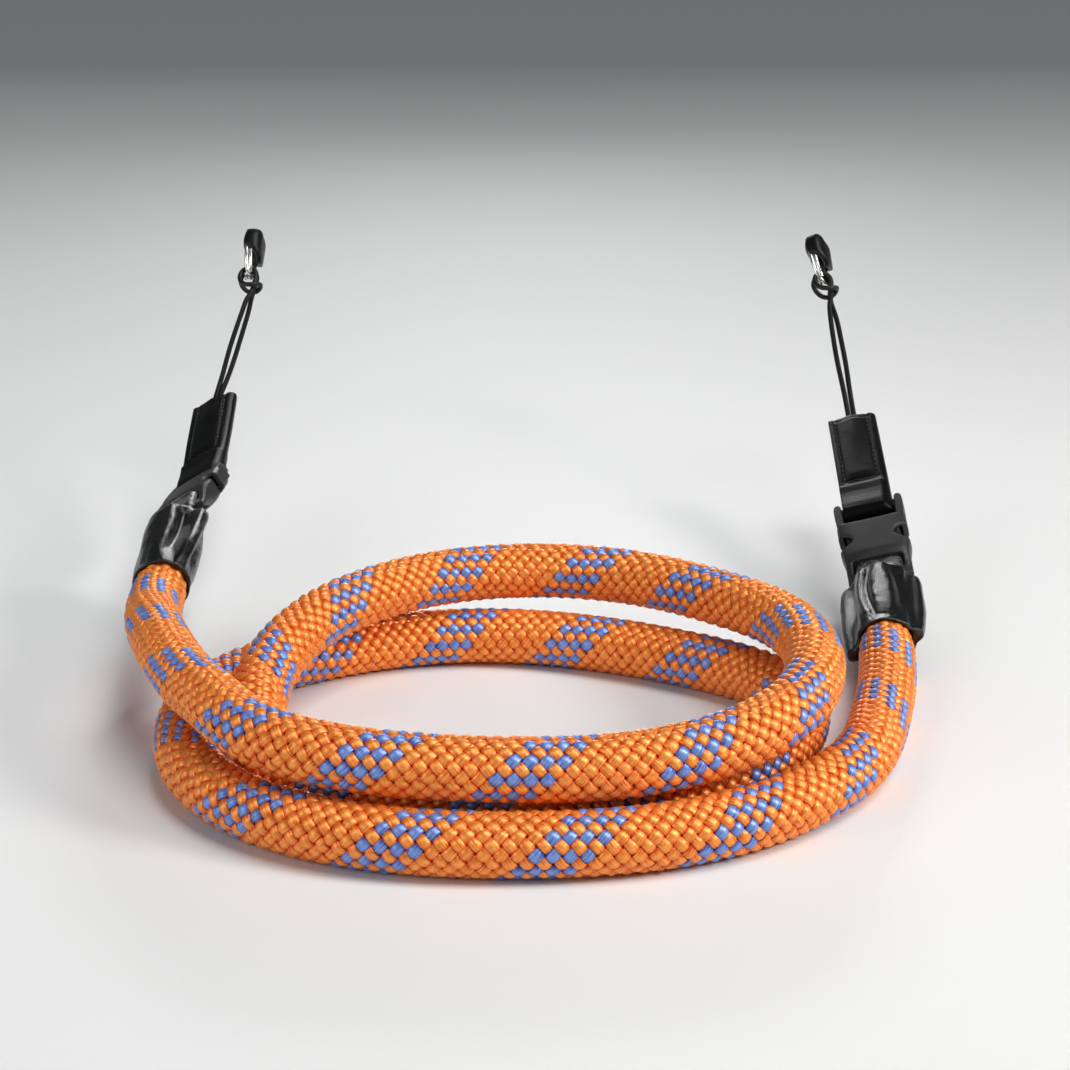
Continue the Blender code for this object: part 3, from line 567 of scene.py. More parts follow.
for side, pose in END_POSES.items():
    here = places[side]
    here["socket"] = frame_at(here["cap"] @ Vector((0, CAP_TO_BAR, 0)), pose["buckle"])
    here["plug"] = here["socket"] @ Matrix.Translation((0, BARS_APART, 0))
    here["tab"] = frame_at(here["plug"].translation, pose["tab"])
    ring_point = here["tab"] @ Vector((0, TAB_LENGTH, 0)) + Vector(pose["reach"]) * MM
    here["ring"] = frame_at(ring_point, pose["ring"])


def tube_rows(line, radius, sides):
    """Rows of points round a line, for a round tube, and UVs that run along it in millimetres."""
    normal, second = carried_frame(line)
    length = along_line(line) / MM
    uv = [np.stack([length, np.full(len(line), i / sides)], axis=1) for i in range(sides)]
    return rows_round(line, normal, second, radius, sides), np.stack(uv, axis=1)


def thread_group():
    """Twisted or braided thread as a node group: its fine weave, for relief and paleness."""
    group, given, made = new_group(
        "fine thread",
        inputs=[("Coordinate", "Vector"), ("Fineness", "Float")],
        outputs=[("Weave", "Float")],
    )
    weave = cloudy(group, given["Coordinate"], scale=given["Fineness"], detail=3.0)
    set_inputs(group, made, {"Weave": weave})
    return group


thread = thread_group()


def thread_material(name, deep, pale, fineness, roughness):
    """Black thread with a fine uneven surface."""
    material, shader, tree = new_material(name)
    weave = node(tree, "Group", node_tree=thread)
    set_inputs(tree, weave, {"Coordinate": own_place(tree), "Fineness": fineness})
    set_inputs(tree, shader, {
        "Base Color": ramp(tree, weave.outputs["Weave"], [(0.3, deep), (0.75, pale)]),
        "Normal": bumped(tree, weave.outputs["Weave"], 0.5),
        "Roughness": roughness,
        "Specular IOR Level": 0.35,
    })
    return material


cord_material = thread_material(
    "black braided cord", deep=(0.002, 0.002, 0.002), pale=(0.009, 0.009, 0.010),
    fineness=2600.0, roughness=0.45,
)


def half_loop(here, sign):
    """One half of a thin cord's loop, from inside the tab up to the bight."""
    tab, ring = here["tab"], here["ring"]
    half = []
    for past_top in (-LUG_CORD_IN_TAB, -0.4 * LUG_CORD_IN_TAB, 1.5 * MM):
        half.append(tab @ Vector((-sign * POCKET_HALF, TAB_LENGTH + past_top, 0)))
    leave = tab @ Vector((0, TAB_LENGTH, 0))
    foot = ring @ (Vector(HITCH_FOOT) * MM)
    across = (ring.to_3x3() @ Vector((1, 0, 0))).normalized()
    for share, spread in RUN_SPREADS:
        apart = across.lerp(ring.to_3x3() @ Vector((0, 0, -1)), share**8)
        half.append(leave.lerp(foot, share) - apart.normalized() * sign * spread * MM)
    for x, y, z in HITCH_HALF:
        half.append(ring @ (Vector((x, y, sign * z)) * MM))
    return half


for side, here in places.items():
    bight = here["ring"] @ (Vector(BIGHT_MIDDLE) * MM)
    line = smooth_curve([tuple(point) for point in half_loop(here, 1) + [bight] + half_loop(here, -1)[::-1]])
    line = even_points(line, LUG_CORD_POINTS)
    rows, uv = tube_rows(line, LUG_CORD_DIAMETER / 2, 10)
    name = side + "_lug_cord_loop"
    loop = add_piece(name, skin(name, rows, uv=uv), cord_material, [side + "_lug_cord"])

# The rope caps: black leather wrapped and gathered round the rope's end, closed by a glued lip along each
# side, and drawn out flat into a strip that is folded round the buckle's bar.


def grain_group():
    """Leather's surface as a node group: height for bump, and how pale it is from wear and painted sheen."""
    group, given, made = new_group(
        "leather grain",
        inputs=[("Coordinate", "Vector"), ("Grain Size", "Float"), ("Rubbed And Sheen", "Float")],
        outputs=[("Height", "Float"), ("Worn And Sheen", "Float")],
    )
    place = given["Coordinate"]
    pebbles = node(group, "TexVoronoi", {"Vector": place, "Scale": given["Grain Size"]}).outputs[0]
    creases = cloudy(group, place, scale=1900.0, detail=5.0, roughness=0.65)
    patches = cloudy(group, place, scale=240.0, detail=3.0)
    patch_range = {"Value": patches, "From Min": 0.4, "From Max": 0.75, "To Max": 0.5}
    worn = node(group, "MapRange", patch_range).outputs[0]
    rubbed_and_sheen = arithmetic(group, "MULTIPLY", given["Rubbed And Sheen"], creases)
    set_inputs(group, made, {
        "Height": arithmetic(group, "MULTIPLY_ADD", creases, 2.0, pebbles),
        "Worn And Sheen": arithmetic(group, "ADD", worn, rubbed_and_sheen),
    })
    return group


leather_grain = grain_group()
# Pale greys of rubbing wear and painted sheen.
SHEEN_AND_RUBBED_GREYS = [(0.85, (0.04, 0.042, 0.042)), (1.0, (0.12, 0.125, 0.125))]


def between(tree, share, low, high):
    """A value that goes from low to high as share goes from 0 to 1."""
    return node(tree, "MapRange", {"Value": share, "To Min": low, "To Max": high}).outputs[0]


def leather_material(name, base, worn, roughness, relief, gloss, grain_size):
    """Black leather with fine grain, smoother where it is worn, greyer with rubbing wear and painted sheen.
    """
    material, shader, tree = new_material(name)
    grain = node(tree, "Group", node_tree=leather_grain)
    set_inputs(tree, grain, {
        "Coordinate": own_place(tree),
        "Rubbed And Sheen": node(tree, "Attribute", attribute_name="rubbed_and_sheen").outputs["Fac"],
        "Grain Size": grain_size,
    })
    set_inputs(tree, shader, {
        "Base Color": ramp(tree, grain.outputs["Worn And Sheen"], [(0.0, base), (0.5, worn)] + SHEEN_AND_RUBBED_GREYS),
        "Roughness": between(tree, grain.outputs["Worn And Sheen"], roughness + 0.05, roughness - 0.05),
        "Normal": bumped(tree, grain.outputs["Height"], relief),
        "Specular IOR Level": gloss,
    })
    return material


cap_leather = leather_material(
    "gathered cap leather", base=(0.0005, 0.0005, 0.0005), worn=(0.003, 0.003, 0.003), roughness=0.22,
    relief=0.38, gloss=0.6, grain_size=4200.0,
)

# How far each side lip stands out and hangs below the mouth, +X first, how much it dies away at the mouth,
# how soon the cap tapers, how much its -X side draws in near the strip, and the pleats' valleys: degrees
# round, spread and depth.
CAP_LOOKS = {
    "left": {
        "lips": (2.0, 0.0),
        "drops": (0.0, 0.0),
        "lip_fade": 0.85,
        "taper": 1.2,
        "waist": 1.7,
        "valleys": [(34, 11, 0.9), (118, 13, 0.55), (150, 9, 0.3)],
    },
    "right": {
        "lips": (1.6, 1.9),
        "drops": (-1.8, 2.6),
        "lip_fade": 0.0,
        "taper": 1.12,
        "waist": 0.0,
        "valleys": [(47, 16, 1.1), (106, 8, 0.8), (150, 9, 0.8)],
    },
}
# Along the cap: share of the way to the bar, roundness, lips, pleats.
CAP_STATIONS = np.array([
    (-0.05, 0.64, 0.85, 0.00), (0.03, 0.72, 1.00, 0.15), (0.15, 0.86, 1.00, 0.50), (0.35, 0.98, 1.00, 0.95),
    (0.60, 1.02, 1.00, 1.00), (0.78, 1.00, 1.00, 0.90), (0.87, 0.90, 0.92, 0.60), (0.905, 0.74, 0.60, 0.35),
    (0.935, 0.42, 0.20, 0.12), (0.96, 0.12, 0.00, 0.00), (0.985, 0.00, 0.00, 0.00), (1.20, 0.00, 0.00, 0.00),
])
CAP_TAPERS_FROM = 0.35
# Where the cap's outside begins, and where it is all strip, as shares of the way to the bar.
CAP_MOUTH = -0.04
STRIP_PLACE = 1.1
CAP_RADIUS = 5.7 * MM
STRIP_HALF_WIDTH = 4.5 * MM
STRIP_HALF_DEPTH = 2.25 * MM
# Each lip's half width in degrees, and the hollow on both sides of it: how far off, half width, and depth as
# a share of the lip's height.
LIP_SPREAD = 12.5
HOLLOW_OFF = 25
HOLLOW_SPREAD = 6
HOLLOW_SHARE = 0.22
# The waist's place and reach as shares of the way to the bar, and its half width in degrees.
WAIST_PLACE = 0.82
WAIST_REACH = 0.2
WAIST_SPREAD = 50
# How far up the cap and how many degrees to each side the lips' hang dies away, and where along the cap it
# has taken the buckle's roll.
HANG_REACH = 11.0 * MM
HANG_SPREAD = 24
TURNED_BY = CAP_TO_BAR - 1.4 * MM
WRINKLE_HEIGHT = 0.07 * MM
# How pale the strip's face and the +X lip are painted, as rubbing wear and as painted sheen.
STRIP_RUBBED_AND_SHEEN = 1.6
LIP_RUBBED_AND_SHEEN = 0.8
# In millimetres, inside the mouth: places along the cap and radii. Then its rim: places, and how far it is
# drawn in.
CAP_BORE = [(4.0, 4.3), (0.5, 4.45), (-0.7, 4.6), (-1.1, 4.68), (-1.28, 4.82)]
CAP_RIM = [(-1.32, 0.32), (-1.27, 0.14), (-1.15, 0.04)]
# The least radius near the mouth, which keeps the leather outside the rope: places, then radii.
MOUTH_ROUND = [(-1.1, 0.5, 2.0, 2.5), (5.16, 4.95, 4.6, 0.0)]
# Past the bar the strip's end is closed: places beyond the bar, and how deep it still is there.
STRIP_FOLD = [(1.2, 1.0), (3.0, 0.98), (3.6, 0.95), (3.9, 0.88), (4.05, 0.7), (4.09, 0.3)]
CAP_AROUND = 168


def circle(count):
    """Even angles round a circle, their cosines and their sines."""
    around = np.radians(np.linspace(0, 360, count, endpoint=False))
    return around, np.cos(around), np.sin(around)


_, cap_cos, cap_sin = circle(CAP_AROUND)


def squarish(c, s, half_wide, half_deep, power):
    """How far an outline between an ellipse and a rectangle is from its middle, each way round."""
    return (np.abs(c / half_wide) ** power + np.abs(s / half_deep) ** power) ** (-1 / power)


def angle_from(middle):
    """How far each point round a cap is from middle, in degrees."""
    return (np.linspace(0, 360, CAP_AROUND, endpoint=False) - middle + 180) % 360 - 180


def swell(middle, spread):
    """A soft swelling round a cap, at most 1, at middle and some degrees to both sides."""
    return np.exp(-((angle_from(middle) / spread) ** 2))


def cap_outline(place, look):
    """The cap's outside round one section, as distances from its axis."""
    station = max(place, CAP_TAPERS_FROM + (place - CAP_TAPERS_FROM) * look["taper"])
    nearby = []
    for step in (-0.012, 0, 0.012):
        at = station + step
        nearby.append([np.interp(at, CAP_STATIONS[:, 0], column) for column in CAP_STATIONS.T[1:]])
    roundness, lip, pleat = np.array(nearby).mean(axis=0)
    lip *= 1 - look["lip_fade"] * (1 - np.clip((place - CAP_MOUTH) / 0.26, 0, 1)) ** 1.5
    half_wide = STRIP_HALF_WIDTH + (CAP_RADIUS - STRIP_HALF_WIDTH) * roundness
    half_deep = STRIP_HALF_DEPTH + (CAP_RADIUS - STRIP_HALF_DEPTH) * roundness
    outline = squarish(cap_cos, cap_sin, half_wide, half_deep, 2 + 2.2 * max(1 - roundness, 0))
    for middle, spread, depth in look["valleys"]:
        for at in (middle + 9 * math.sin(5 * place + middle), 360 - middle + 7 * math.sin(6 * place)):
            fold = swell(at, spread) - 0.3 * swell(at + 1.9 * spread, spread)
            outline -= depth * MM * pleat * fold
    waist = np.exp(-(((place - WAIST_PLACE) / WAIST_REACH) ** 2)) * swell(180, WAIST_SPREAD)
    outline -= look["waist"] * MM * waist
    for middle, amount in zip((0, 180), look["lips"]):
        off = np.abs(angle_from(middle))
        hollow = HOLLOW_SHARE * np.exp(-(((off - HOLLOW_OFF) / HOLLOW_SPREAD) ** 2))
        outline += amount * lip * MM * np.exp(-((off / LIP_SPREAD) ** 4))
        outline -= min(amount, 1.2) * lip * MM * hollow
    return np.maximum(outline, np.interp(place * CAP_TO_BAR / MM, *MOUTH_ROUND) * MM)


def cap_sections(look):
    """The cap's sections from its bore round the mouth to the strip's end: places along it and outlines."""
    sections = [(y * MM, np.full(CAP_AROUND, radius * MM)) for y, radius in CAP_BORE]
    mouth = cap_outline(CAP_MOUTH, look)
    sections += [(y * MM, mouth - drawn_in * MM) for y, drawn_in in CAP_RIM]
    shares = np.concatenate([np.linspace(CAP_MOUTH, 0.84, 80), np.linspace(0.846, 1.0, 46)])
    sections += [(y, cap_outline(y / CAP_TO_BAR, look)) for y in shares * CAP_TO_BAR]
    strip = cap_outline(STRIP_PLACE, look)
    for y, depth in STRIP_FOLD:
        flattened = 1 / np.sqrt(cap_cos**2 + (cap_sin / depth) ** 2)
        sections.append((CAP_TO_BAR + y * MM, strip * np.maximum(flattened, 0.1)))
    return sections


def wrinkles(y):
    """Fine uneven wrinkles round a cap's section, as distances out from it."""
    heights = [noise.noise(Vector((1.9 * c, 0.16 * y / MM, 1.9 * s)) * 3.0) for c, s in zip(cap_cos, cap_sin)]
    return WRINKLE_HEIGHT * np.array(heights) * (y > 0)


def rolled(x, y, z, angle):
    """Points turned about the strap's length."""
    turned_x = x * np.cos(angle) + z * np.sin(angle)
    turned_z = z * np.cos(angle) - x * np.sin(angle)
    return np.stack([turned_x, y + 0 * x, turned_z], axis=1)


for side, here in places.items():
    look = CAP_LOOKS[side]
    twist = math.radians(END_POSES[side]["buckle"][2] - END_POSES[side]["cap"][2])
    hang = look["drops"][0] * swell(0, HANG_SPREAD) + look["drops"][1] * swell(180, HANG_SPREAD)
    rows = []
    rubbed_and_sheen = []
    for y, outline in cap_sections(look):
        turn = -twist * eased(y / TURNED_BY)
        outline = outline + wrinkles(y)
        hanging = hang * MM * (1 - np.clip(y / HANG_REACH, 0, 1))
        rows.append(rolled(outline * cap_cos, y - hanging, outline * cap_sin, turn))
        # Paler on the strip's upper face and along the +X lip: rubbing wear and painted sheen.
        on_strip = STRIP_RUBBED_AND_SHEEN * np.clip((y / CAP_TO_BAR - 0.9) / 0.05, 0, 1) * (cap_sin > 0.15)
        on_lip = LIP_RUBBED_AND_SHEEN * swell(0, 9) * (y > 0) * (y < 0.9 * CAP_TO_BAR)
        rubbed_and_sheen.append(np.maximum(on_strip, on_lip))
    name = side + "_cap_leather"
    mesh = skin(name, rows, paint=("rubbed_and_sheen", rubbed_and_sheen))
    add_piece(name, mesh, cap_leather, [side + "_rope_cap"], here["cap"])

# The buckles: small side release buckles moulded in matt dark grey plastic. The socket is a hollow shell
# with a bar and slot for the cap's strip. The plug has a bar between two horns, and a lip and two prongs
# that are inside the socket.

BUCKLE_HALF = 6.7 * MM
SOCKET_FRONT = 16.4 * MM
THROUGH = 6.0 * MM
HORN_HALF_DEPTH = 1.7 * MM
PRONG_HALF_DEPTH = 1.25 * MM
LIP_HALF_DEPTH = 1.35 * MM
BAR_HALF_DEPTH = 0.9 * MM
MOULD_GRID = 0.15
MOULD_SHARE = 0.36
# In millimetres: the socket's sections from its bar on, where and over how far its body rises from the bar,
# half the bar's depth, and how much the body rises over it.
SOCKET_SECTIONS = np.concatenate([[-1.1], np.linspace(-0.8, 16.1, 40), [16.4]])
BODY_FROM = 0.4
BODY_OVER = 6.0
SOCKET_BAR_HALF = 0.95
BODY_RISE = 1.75
# The bite in each side of the socket, where a finger presses the prong: its middle and radii.
BITE_MIDDLE = (6.3, 10.6)
BITE_RADII = (2.5, 2.1)
# The socket's front edge: half the width of its dip, and the depth.
DIP_HALF = 5.8
DIP_DEPTH = 0.9 * MM
PLASTIC_GREYS = [(0.3, (0.016, 0.016, 0.016)), (0.7, (0.024, 0.024, 0.024))]
# Right half of the plug, in millimetres from its bar: a horn's outline and a prong's.
HORN = [
    (5.15, -5.0), (6.5, -5.0), (6.7, -2.4), (6.75, 0.1), (6.6, 1.2), (6.2, 1.75), (5.6, 1.75), (5.25, 1.2),
    (5.15, 0.4),
]
PRONG = [
    (3.3, -6.6), (5.2, -6.6), (5.2, -8.9), (4.9, -10.2), (5.3, -11.4), (5.2, -13.6), (4.2, -14.9),
    (3.3, -14.2),
]
# How much shorter the plug's horn on its +X side is, in millimetres.
SHORT_HORN = {"left": 2.0, "right": 0.0}

plastic, shader, tree = new_material("matt moulded plastic")
spark = cloudy(tree, own_place(tree), scale=4200.0, detail=2.0)
haze = cloudy(tree, own_place(tree), scale=260.0, detail=3.0)
set_inputs(tree, shader, {
    "Base Color": ramp(tree, haze, PLASTIC_GREYS),
    "Roughness": between(tree, haze, 0.38, 0.5),
    "Normal": bumped(tree, spark, 0.22),
})


def prism(outline, half_height):
    """A solid from an outline in X and Y, as far above the middle plane as below it."""
    return skin("prism", [[(x, y, z) for x, y in outline] for z in (-half_height, half_height)])


def modify(item, kind, **settings):
    """Puts a modifier of a kind on an object, with its settings."""
    modifier = item.modifiers.new(kind, kind)
    for key, value in settings.items():
        setattr(modifier, key, value)


def moulded(name, mesh, cutters=()):
    """The mesh less its cutters, worked over in millimetres so that every edge is rounded as in a mould."""
    to_mm = Matrix.Scale(1 / MM, 4)
    mesh.transform(to_mm)
    item = linked(name, mesh)
    used = [item]
    for cutter in cutters:
        cutter.transform(to_mm)
        other = linked(name + "_cutter", cutter)
        modify(item, "BOOLEAN", operation="DIFFERENCE", solver="EXACT", object=other)
        used.append(other)
    modify(item, "REMESH", mode="VOXEL", voxel_size=MOULD_GRID)
    modify(item, "SMOOTH", factor=0.5, iterations=5)
    modify(item, "DECIMATE", ratio=MOULD_SHARE)
    bpy.context.view_layer.update()
    shaped = bpy.data.meshes.new_from_object(item.evaluated_get(bpy.context.evaluated_depsgraph_get()))
    for other in used:
        bpy.data.objects.remove(other)
    shaped.name = name
    shaped.transform(to_mm.inverted())
    shaped.shade_smooth()
    return shaped


def rounded_box(half_x, low_y, high_y, corner):
    """An upright box's outline with rounded corners."""
    outline = []
    for cx, cy, start in ((1, 1, 0), (-1, 1, 90), (-1, -1, 180), (1, -1, 270)):
        for step in range(5):
            angle = math.radians(start + 22.5 * step)
            x = cx * (half_x - corner) + corner * math.cos(angle)
            y = (high_y if cy > 0 else low_y) - cy * corner + corner * math.sin(angle)
            outline.append((x, y))
    return outline


def socket_body():
    """The socket before it is cut: its bar, two cheeks that rise from it, and a softly crowned body."""
    rows = []
    _, c, s = circle(72)
    for y in SOCKET_SECTIONS:
        rise = eased((y - BODY_FROM) / BODY_OVER)
        half_wide = BUCKLE_HALF * (0.92 + 0.08 * np.interp(y, (4.5, 8.0), (0, 1)))
        radius = squarish(c, s, half_wide, (SOCKET_BAR_HALF + BODY_RISE * rise) * MM, 5)
        crown = 1 - 0.12 * rise * (radius * c / half_wide) ** 2
        rows.append(np.stack([radius * c, np.full(len(c), y * MM), radius * s * crown], axis=1))
    return rows


def socket_mesh(name):
    """The socket, cut through beside its bar, hollow in front, with bitten sides and a dipped front."""
    past_front = SOCKET_FRONT + 1.2 * MM
    cutters = [
        prism(rounded_box(4.85 * MM, 1.1 * MM, 4.1 * MM, 0.4 * MM), THROUGH),
        prism(rounded_box(5.6 * MM, SOCKET_FRONT - 10.6 * MM, past_front, 0.4 * MM), 1.6 * MM),
    ]
    _, c, s = circle(40)
    for way in (-1, 1):
        bite = [way * BITE_MIDDLE[0] + BITE_RADII[0] * c, BITE_MIDDLE[1] + BITE_RADII[1] * s]
        cutters.append(prism(np.stack(bite, axis=1) * MM, THROUGH))
    dip = []
    for x in np.linspace(-DIP_HALF, DIP_HALF, 21):
        dip.append((x * MM, SOCKET_FRONT - DIP_DEPTH * (1 - (x / DIP_HALF) ** 2)))
    dip += [(DIP_HALF * MM, past_front), (-DIP_HALF * MM, past_front)]
    cutters.append(prism(dip, THROUGH))
    return moulded(name, skin(name, socket_body()), cutters)


def plug_mesh(name, short):
    """The plug: two blunt horns with a lip and a bar between them, and its prongs inside the socket."""
    parts = []
    for way in (-1, 1):
        less = short if way > 0 else 0
        horn = [(way * (x - 0.4 * less * (x > 5.5)) * MM, (y - less * (y > -2)) * MM) for x, y in HORN]
        parts.append(prism(horn[::way], HORN_HALF_DEPTH))
        prong = [(way * x * MM, y * MM) for x, y in PRONG]
        parts.append(prism(prong[::-way], PRONG_HALF_DEPTH))
    lip = rounded_box(6.3 * MM, -6.7 * MM, -4.15 * MM, 0.3 * MM)
    parts.append(prism(lip, LIP_HALF_DEPTH))
    bar = rounded_box(5.6 * MM, -1.1 * MM, 1.1 * MM, 0.4 * MM)
    parts.append(prism(bar, BAR_HALF_DEPTH))
    return moulded(name, joined(name, parts))


for side, here in places.items():
    name = side + "_socket_shell"
    add_piece(name, socket_mesh(name), plastic, [side + "_buckle_socket"], here["socket"])
    name = side + "_plug_frame"
    mesh = plug_mesh(name, SHORT_HORN[side])
    add_piece(name, mesh, plastic, [side + "_buckle_plug"], here["plug"])

# The leather tabs: a strip of black leather folded along its right edge and again round the plug's bar,
# with a cut edge on the left and at the top, and a line of black stitches all round.

tab_leather = leather_material(
    "tab leather", base=(0.001, 0.0012, 0.001), worn=(0.004, 0.004, 0.004), roughness=0.3,
    relief=0.3, gloss=0.15, grain_size=3600.0,
)
stitch_material = thread_material(
    "black waxed thread", deep=(0.006, 0.006, 0.007), pale=(0.028, 0.028, 0.03),
    fineness=5000.0, roughness=0.32,
)

TAB_HALF = 4.9 * MM
# Along the tab from the bar: place, and the top leaf's height. It steps down where the strip's end is sewn.
TAB_STATIONS = np.array([
    (-2.6, 0.5), (-2.5, 1.1), (-2.2, 1.6), (-1.6, 2.05), (-0.7, 2.3), (1.0, 2.3), (3.5, 2.05), (5.2, 1.95),
    (7.2, 1.98), (7.7, 1.93), (7.95, 1.7), (8.15, 1.5), (8.6, 1.42), (33.5, 1.4),
])
TAB_SECTIONS = np.concatenate([
    np.linspace(-2.6, 7.0, 40), np.linspace(7.08, 10.6, 44), np.linspace(10.8, 31.2, 92),
    np.linspace(31.3, 33.1, 18), [33.3, 33.42, 33.5],
]) * MM
# The top's edge: places, and how far both leaves are rounded off there.
TAB_TOP_ROUND = [(33.1, 33.3, 33.42, 33.5), (0.0, 0.05, 0.12, 0.25)]
# The cut edge of both leaves, as shares of the tab's half width and of its height.
CUT_EDGE = [
    (-0.985, 0.93), (-1.0, 0.8), (-1.0, 0.14), (-0.965, 0.05), (-0.945, 0.0), (-0.965, -0.05), (-1.0, -0.14),
    (-1.0, -0.8), (-0.985, -0.93),
]
# The cord's pocket: from where and over how many millimetres it rises, its height and its half width.
POCKET_FROM = 15
POCKET_OVER = 13
POCKET_HEIGHT = 0.4 * MM
POCKET_SPREAD = 1.7 * MM
CROWN_HEIGHT = 0.32 * MM
# The stitches: their lines, how deep these are drawn in, and the pitch and length of a stitch on each.
STITCH_LINES = {"left": -3.55, "right": 3.0, "top": 32.1, "bottom": 9.6}
STITCH_DEPTH = 0.16 * MM
SIDE_STITCH = (1.62, 1.25)
END_STITCH = (1.6, 1.2)
STITCH_RADII = np.array([0.07, 0.12, 0.14, 0.15, 0.14, 0.12, 0.07]) * MM
TWIST_FROM = 2.8 * MM
TWIST_TO = 0.6 * TAB_LENGTH


def groove(place, line, spread):
    """How deep the leather is drawn in by a stitch line near it, at most 1."""
    return np.exp(-(((place - STITCH_LINES[line]) / spread) ** 2))


def tab_height(x, y):
    """The top leaf's height above the tab's middle plane."""
    along = y / MM
    flat = np.interp(along, TAB_STATIONS[:, 0], TAB_STATIONS[:, 1]) * MM
    inside = np.clip((along - 9) / 3, 0, 1) * np.clip((33.0 - along) / 1.5, 0, 1)
    across = (x / MM - 0.5 * (STITCH_LINES["left"] + STITCH_LINES["right"])) / 3.0
    crown = CROWN_HEIGHT * inside * np.exp(-(across**4))
    pocket = POCKET_HEIGHT * eased((along - POCKET_FROM) / POCKET_OVER) * np.exp(-((x / POCKET_SPREAD) ** 2))
    sides = groove(x / MM, "left", 0.33) + groove(x / MM, "right", 0.33)
    sides = sides * np.clip((along - 8.8) / 0.8, 0, 1)
    ends = groove(along, "bottom", 0.4) + groove(along, "top", 0.4)
    drawn_in = STITCH_DEPTH * np.clip(sides + 0.8 * ends * (np.abs(x) < 3.6 * MM), 0, 1)
    return flat + crown + pocket - drawn_in


def twisted(x, y, z, twist):
    """Points of the tab after the twist that its bar end takes from the buckle."""
    angle = -twist * (1 - eased((y - TWIST_FROM) / (TWIST_TO - TWIST_FROM)))
    return rolled(x, y, z, angle)


def tab_outline(y):
    """The tab's outline across one section: the folded edge, the top leaf, the cut edge and the back."""
    edge = float(tab_height(TAB_HALF, y))
    fold = 0.95 * edge
    off = np.interp(y / MM, *TAB_TOP_ROUND) * MM
    xs = np.linspace(-0.93 * TAB_HALF, TAB_HALF - fold, 60)
    arc = np.radians(np.linspace(-84, 84, 15))
    folded = [(TAB_HALF - fold + fold * math.cos(angle), (edge - off) * math.sin(angle)) for angle in arc]
    top = [(x, tab_height(x, y) - off) for x in xs[::-1]]
    cut = [(x * TAB_HALF, z * (edge - off)) for x, z in CUT_EDGE]
    back = [(x, -edge + off) for x in xs[::5]]
    return np.array(folded + top + cut + back)


def stitch_ends():
    """Both ends of each stitch: up the sides, then across below and above, but not over the pocket."""
    low, high = STITCH_LINES["bottom"], STITCH_LINES["top"]
    left, right = STITCH_LINES["left"], STITCH_LINES["right"]
    runs = []
    pitch, length = SIDE_STITCH
    for x in (left, right):
        for y in np.arange(low + 0.3, high - 0.9, pitch):
            runs.append(((x, y), (x, y + length)))
    pitch, length = END_STITCH
    for y in (low, high):
        for x in np.arange(left + 0.35, right - 0.8, pitch):
            if y == low or abs(x + 0.55) > 1.3:
                runs.append(((x, y), (x + length, y)))
    return runs


for side, here in places.items():
    twist = math.radians(END_POSES[side]["buckle"][2] - END_POSES[side]["tab"][2])
    rows = []
    for y in TAB_SECTIONS:
        outline = tab_outline(y)
        rows.append(twisted(outline[:, 0], y, outline[:, 1], twist))
    name = side + "_tab_leather"
    add_piece(name, skin(name, rows), tab_leather, [side + "_leather_tab"], here["tab"])

    stitches = []
    for start, end in stitch_ends():
        share = np.linspace(0, 1, len(STITCH_RADII))
        x = (start[0] + (end[0] - start[0]) * share) * MM
        y = (start[1] + (end[1] - start[1]) * share) * MM
        z = tab_height(x, y) - 0.03 * MM + 0.1 * MM * np.sin(math.pi * share)
        rows, _ = tube_rows(twisted(x, y, z, twist), STITCH_RADII, 8)
        stitches.append(skin("stitch", rows))
    name = side + "_tab_stitches"
    add_piece(name, joined(name, stitches), stitch_material, place=here["tab"])

# The split rings: spring wire wound in two turns side by side, bright nickel, and the black leather sleeve
# folded round each ring's far end, which keeps it from scratching what it is fixed to.

RING_LENGTH = 13.0 * MM
RING_WIDTH = 7.4 * MM
RING_WIRE = 0.95 * MM
RING_POINTS = 241
RING_WAIST = 0.18
# How far each ring is turned about its length, in degrees.
RING_ROLL = {"left": 0, "right": -32}
NICKEL_SHADES = [(0.3, (0.68, 0.67, 0.66)), (0.7, (0.84, 0.83, 0.82))]
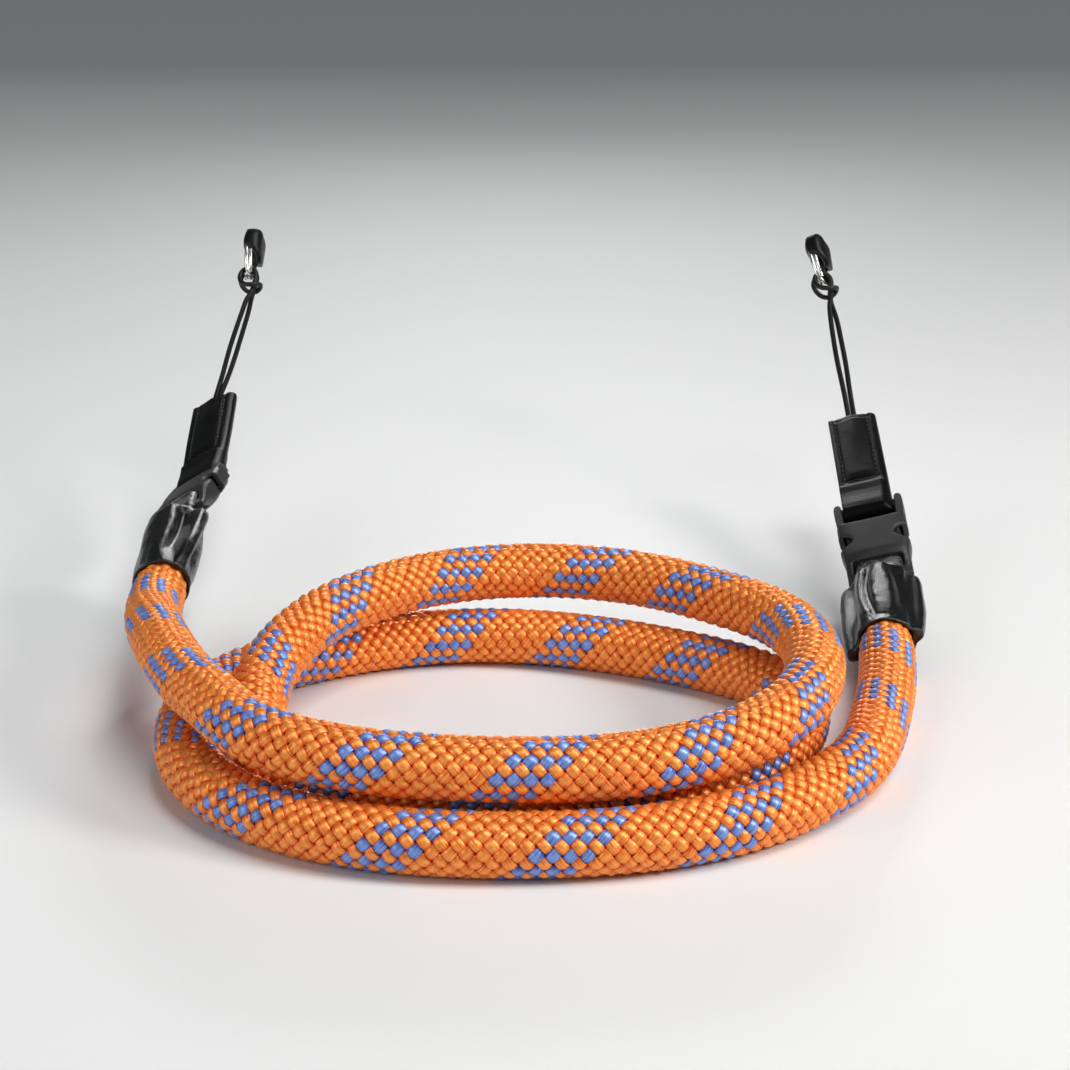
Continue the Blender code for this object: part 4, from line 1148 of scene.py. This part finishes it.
# The sleeve from its mouth over the outside and back inside: place along the ring, half width, half depth.
SLEEVE_SECTIONS = [
    (6.1, 1.3, 3.3), (5.75, 1.45, 3.45), (5.6, 1.75, 3.7), (5.75, 2.05, 3.9), (6.9, 2.2, 4.05),
    (8.6, 2.28, 4.0), (9.8, 2.25, 3.85), (10.8, 2.05, 3.55), (11.2, 1.8, 3.3), (11.3, 1.5, 3.0),
    (11.0, 1.3, 2.8), (9.0, 1.25, 3.2), (6.1, 1.3, 3.3),
]

ring_metal, shader, tree = new_material("bright nickel wire")
scuff = cloudy(tree, own_place(tree), scale=700.0, detail=4.0)
set_inputs(tree, shader, {
    "Base Color": ramp(tree, scuff, NICKEL_SHADES),
    "Roughness": between(tree, scuff, 0.14, 0.3),
    "Metallic": 1.0,
})
cover_leather = leather_material(
    "ring sleeve leather", base=(0.002, 0.002, 0.002), worn=(0.005, 0.005, 0.005), roughness=0.34,
    relief=0.3, gloss=0.3, grain_size=5200.0,
)


def ring_line():
    """The middle of the wire: two turns, with a quick step sideways half way from one to the other."""
    turn = np.linspace(0, 4 * math.pi, RING_POINTS) + 0.5
    along = (RING_LENGTH - RING_WIRE) / 2 * (1 - np.cos(turn))
    wide = (RING_WIDTH - RING_WIRE) / 2 * np.sin(turn) * (1 - RING_WAIST * np.cos(turn))
    step = 1 / (1 + np.exp(-(np.linspace(0, 1, RING_POINTS) - 0.5) * 60))
    return np.stack([(0.5 - step) * 0.99 * RING_WIRE, along, wide], axis=1)


def sleeve_rows():
    """The sleeve's sections, leaning at the mouth, with faint creases along it."""
    around, c, s = circle(72)
    rows = []
    for y, wide, deep in SLEEVE_SECTIONS:
        outline = squarish(c, s, wide, deep, 3) + 0.08 * np.sin(3 * around + y)
        lean = 1.7 * (y < 8) * c
        shift = 0.5 * (wide > 1.5)
        rows.append(np.stack([outline * c + shift, y - lean, outline * s], axis=1) * MM)
    return rows


for side, here in places.items():
    ring_place = here["ring"] @ Matrix.Rotation(math.radians(RING_ROLL[side]), 4, "Y")
    rows, uv = tube_rows(ring_line(), RING_WIRE / 2 * 0.97, 14)
    name = side + "_ring_wire"
    add_piece(name, skin(name, rows, uv=uv), ring_metal, [side + "_split_ring"], ring_place)
    name = side + "_ring_sleeve"
    mesh = skin(name, sleeve_rows(), ends=False)
    add_piece(name, mesh, cover_leather, [side + "_ring_cover"], ring_place)
